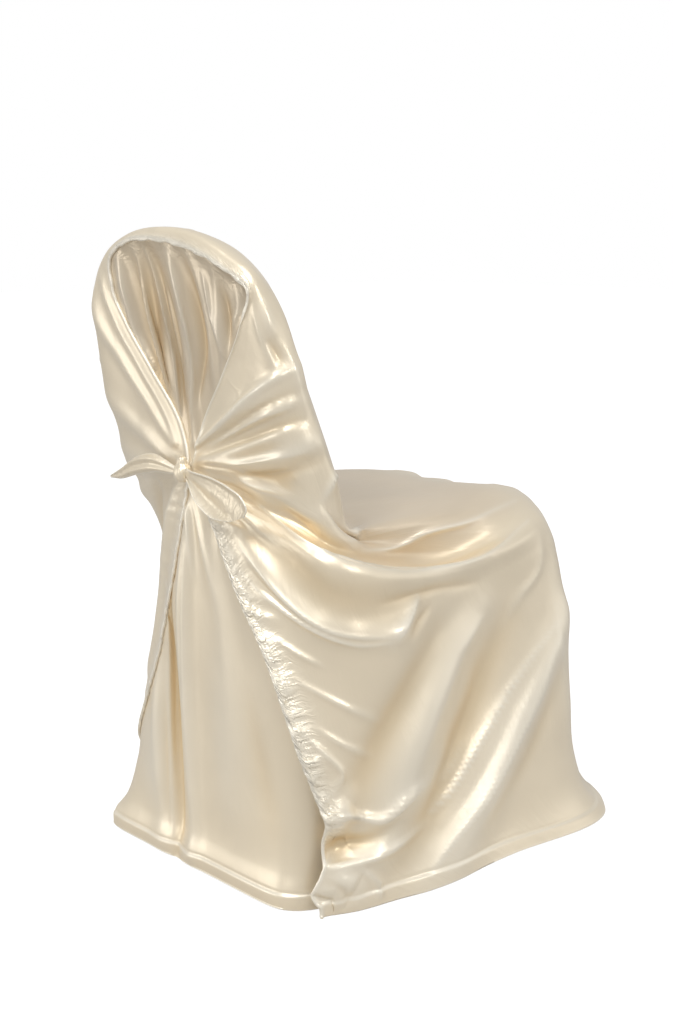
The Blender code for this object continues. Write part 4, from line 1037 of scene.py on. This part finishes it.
def sash_knot():
    """The knot: a ball of wrapped cloth, with the end of the wrap above it."""
    profile = smooth_curve(np.array(KNOT_PROFILE)[:, None, :], [KNOT_STEPS] * (len(KNOT_PROFILE) - 1))[:, 0]
    turn = np.linspace(0, 2 * math.pi, KNOT_COLUMNS + 1)[None, :]
    height = profile[:, 1:]
    ridges = 1 + KNOT_RIDGE_SHARE * np.abs(np.sin(KNOT_RIDGES * turn / 2 + KNOT_TWIST * height))
    across = profile[:, :1] * ridges
    unit = np.stack([across * np.cos(turn), across * np.sin(turn), height * np.ones_like(turn)], axis=-1)
    grid = np.array(KNOT_CENTRE) + unit * KNOT_RADII
    return cloth_object("knot_cloth", grid, satin("knot satin", SATIN_COLOUR))


def add_camera():
    """The camera at the photograph's place, with its lens."""
    data = bpy.data.cameras.new("camera")
    data.sensor_width = SENSOR_MM
    data.lens = SENSOR_MM * LENS_PX / max(IMAGE_SIZE)
    camera = bpy.data.objects.new("camera", data)
    right, down, forward = view_axes()
    turn = Matrix((right, -down, -forward)).transposed()
    camera.matrix_world = Matrix.Translation(Vector(CAMERA_PLACE - HOLD_POINT)) @ turn.to_4x4()
    bpy.context.scene.collection.objects.link(camera)
    bpy.context.scene.camera = camera


def add_light(name, kind, place, target, power):
    """A light that stands at a place and points at its target. Returns its data."""
    data = bpy.data.lights.new(name, kind)
    data.energy = power
    light = bpy.data.objects.new(name, data)
    light.location = Vector(place) - Vector(HOLD_POINT)
    light.rotation_mode = "QUATERNION"
    light.rotation_quaternion = (Vector(target) - Vector(place)).to_track_quat("-Z", "Y")
    bpy.context.scene.collection.objects.link(light)
    return data


def add_floor():
    """A plain pale floor, which the camera sees a little lighter than it is."""
    bpy.ops.mesh.primitive_plane_add(size=FLOOR_SIZE, location=(0.0, 0.0, -HOLD_POINT[2]))
    floor = bpy.context.object
    floor.name = "floor"
    pale = bpy.data.materials.new("pale floor")
    pale.use_nodes = True
    links = pale.node_tree.links
    shader = pale.node_tree.nodes["Principled BSDF"]
    shader.inputs["Base Color"].default_value = FLOOR_COLOUR
    shader.inputs["Roughness"].default_value = FLOOR_ROUGHNESS
    shader.inputs["Emission Color"].default_value = WHITE
    path = add_node(pale, "ShaderNodeLightPath")
    glow = add_node(pale, "ShaderNodeMath", operation="MULTIPLY")
    glow.inputs[1].default_value = FLOOR_GLOW
    links.new(path.outputs["Is Camera Ray"], glow.inputs[0])
    links.new(glow.outputs[0], shader.inputs["Emission Strength"])
    floor.data.materials.append(pale)


def add_studio_light():
    """An even white world, the sun and the square lights."""
    world = bpy.data.worlds.new("studio")
    bpy.context.scene.world = world
    world.use_nodes = True
    nodes = world.node_tree.nodes
    links = world.node_tree.links
    nodes["Background"].inputs["Color"].default_value = WHITE
    nodes["Background"].inputs["Strength"].default_value = WORLD_STRENGTH
    seen = add_node(world, "ShaderNodeBackground", color=WHITE)
    mix = add_node(world, "ShaderNodeMixShader")
    path = add_node(world, "ShaderNodeLightPath")
    links.new(path.outputs["Is Camera Ray"], mix.inputs[0])
    links.new(nodes["Background"].outputs[0], mix.inputs[1])
    links.new(seen.outputs[0], mix.inputs[2])
    links.new(mix.outputs[0], nodes["World Output"].inputs["Surface"])
    add_light("sun", "SUN", SUN_PLACE, SUN_TARGET, SUN_STRENGTH).angle = SUN_ANGLE
    for name, place, side, power in SQUARE_LIGHTS:
        add_light(name, "AREA", place, LIT_POINT, power).size = side


def main():
    """Makes the camera, the five pieces of cloth and the studio, hides the five imported parts, and attaches
    the cloth to the root.
    """
    bpy.context.scene.view_settings.view_transform = "Standard"
    add_camera()
    cover_grid, painted_light, gathers = folded_cover()
    hemmed = with_rolled_edges(cover_grid, edge_roll=EDGE_ROLL, foot_roll=FOOT_ROLL)
    cover = cloth_object("cover_cloth", hemmed, satin("cover satin", SATIN_COLOUR), painted_light, gathers, crown=True)
    panel = panel_cloth(cover_grid)
    knot = sash_knot()
    left_tail = sash_tail("left_tail_cloth", LEFT_TAIL_SECTIONS)
    right_tail = sash_tail("right_tail_cloth", RIGHT_TAIL_SECTIONS)
    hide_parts("cover_body")
    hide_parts("back_panel")
    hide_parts("sash_knot")
    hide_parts("sash_tail_left")
    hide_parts("sash_tail_right")
    for piece in (cover, panel, knot, left_tail, right_tail):
        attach(piece, "root")
    add_floor()
    add_studio_light()


main()
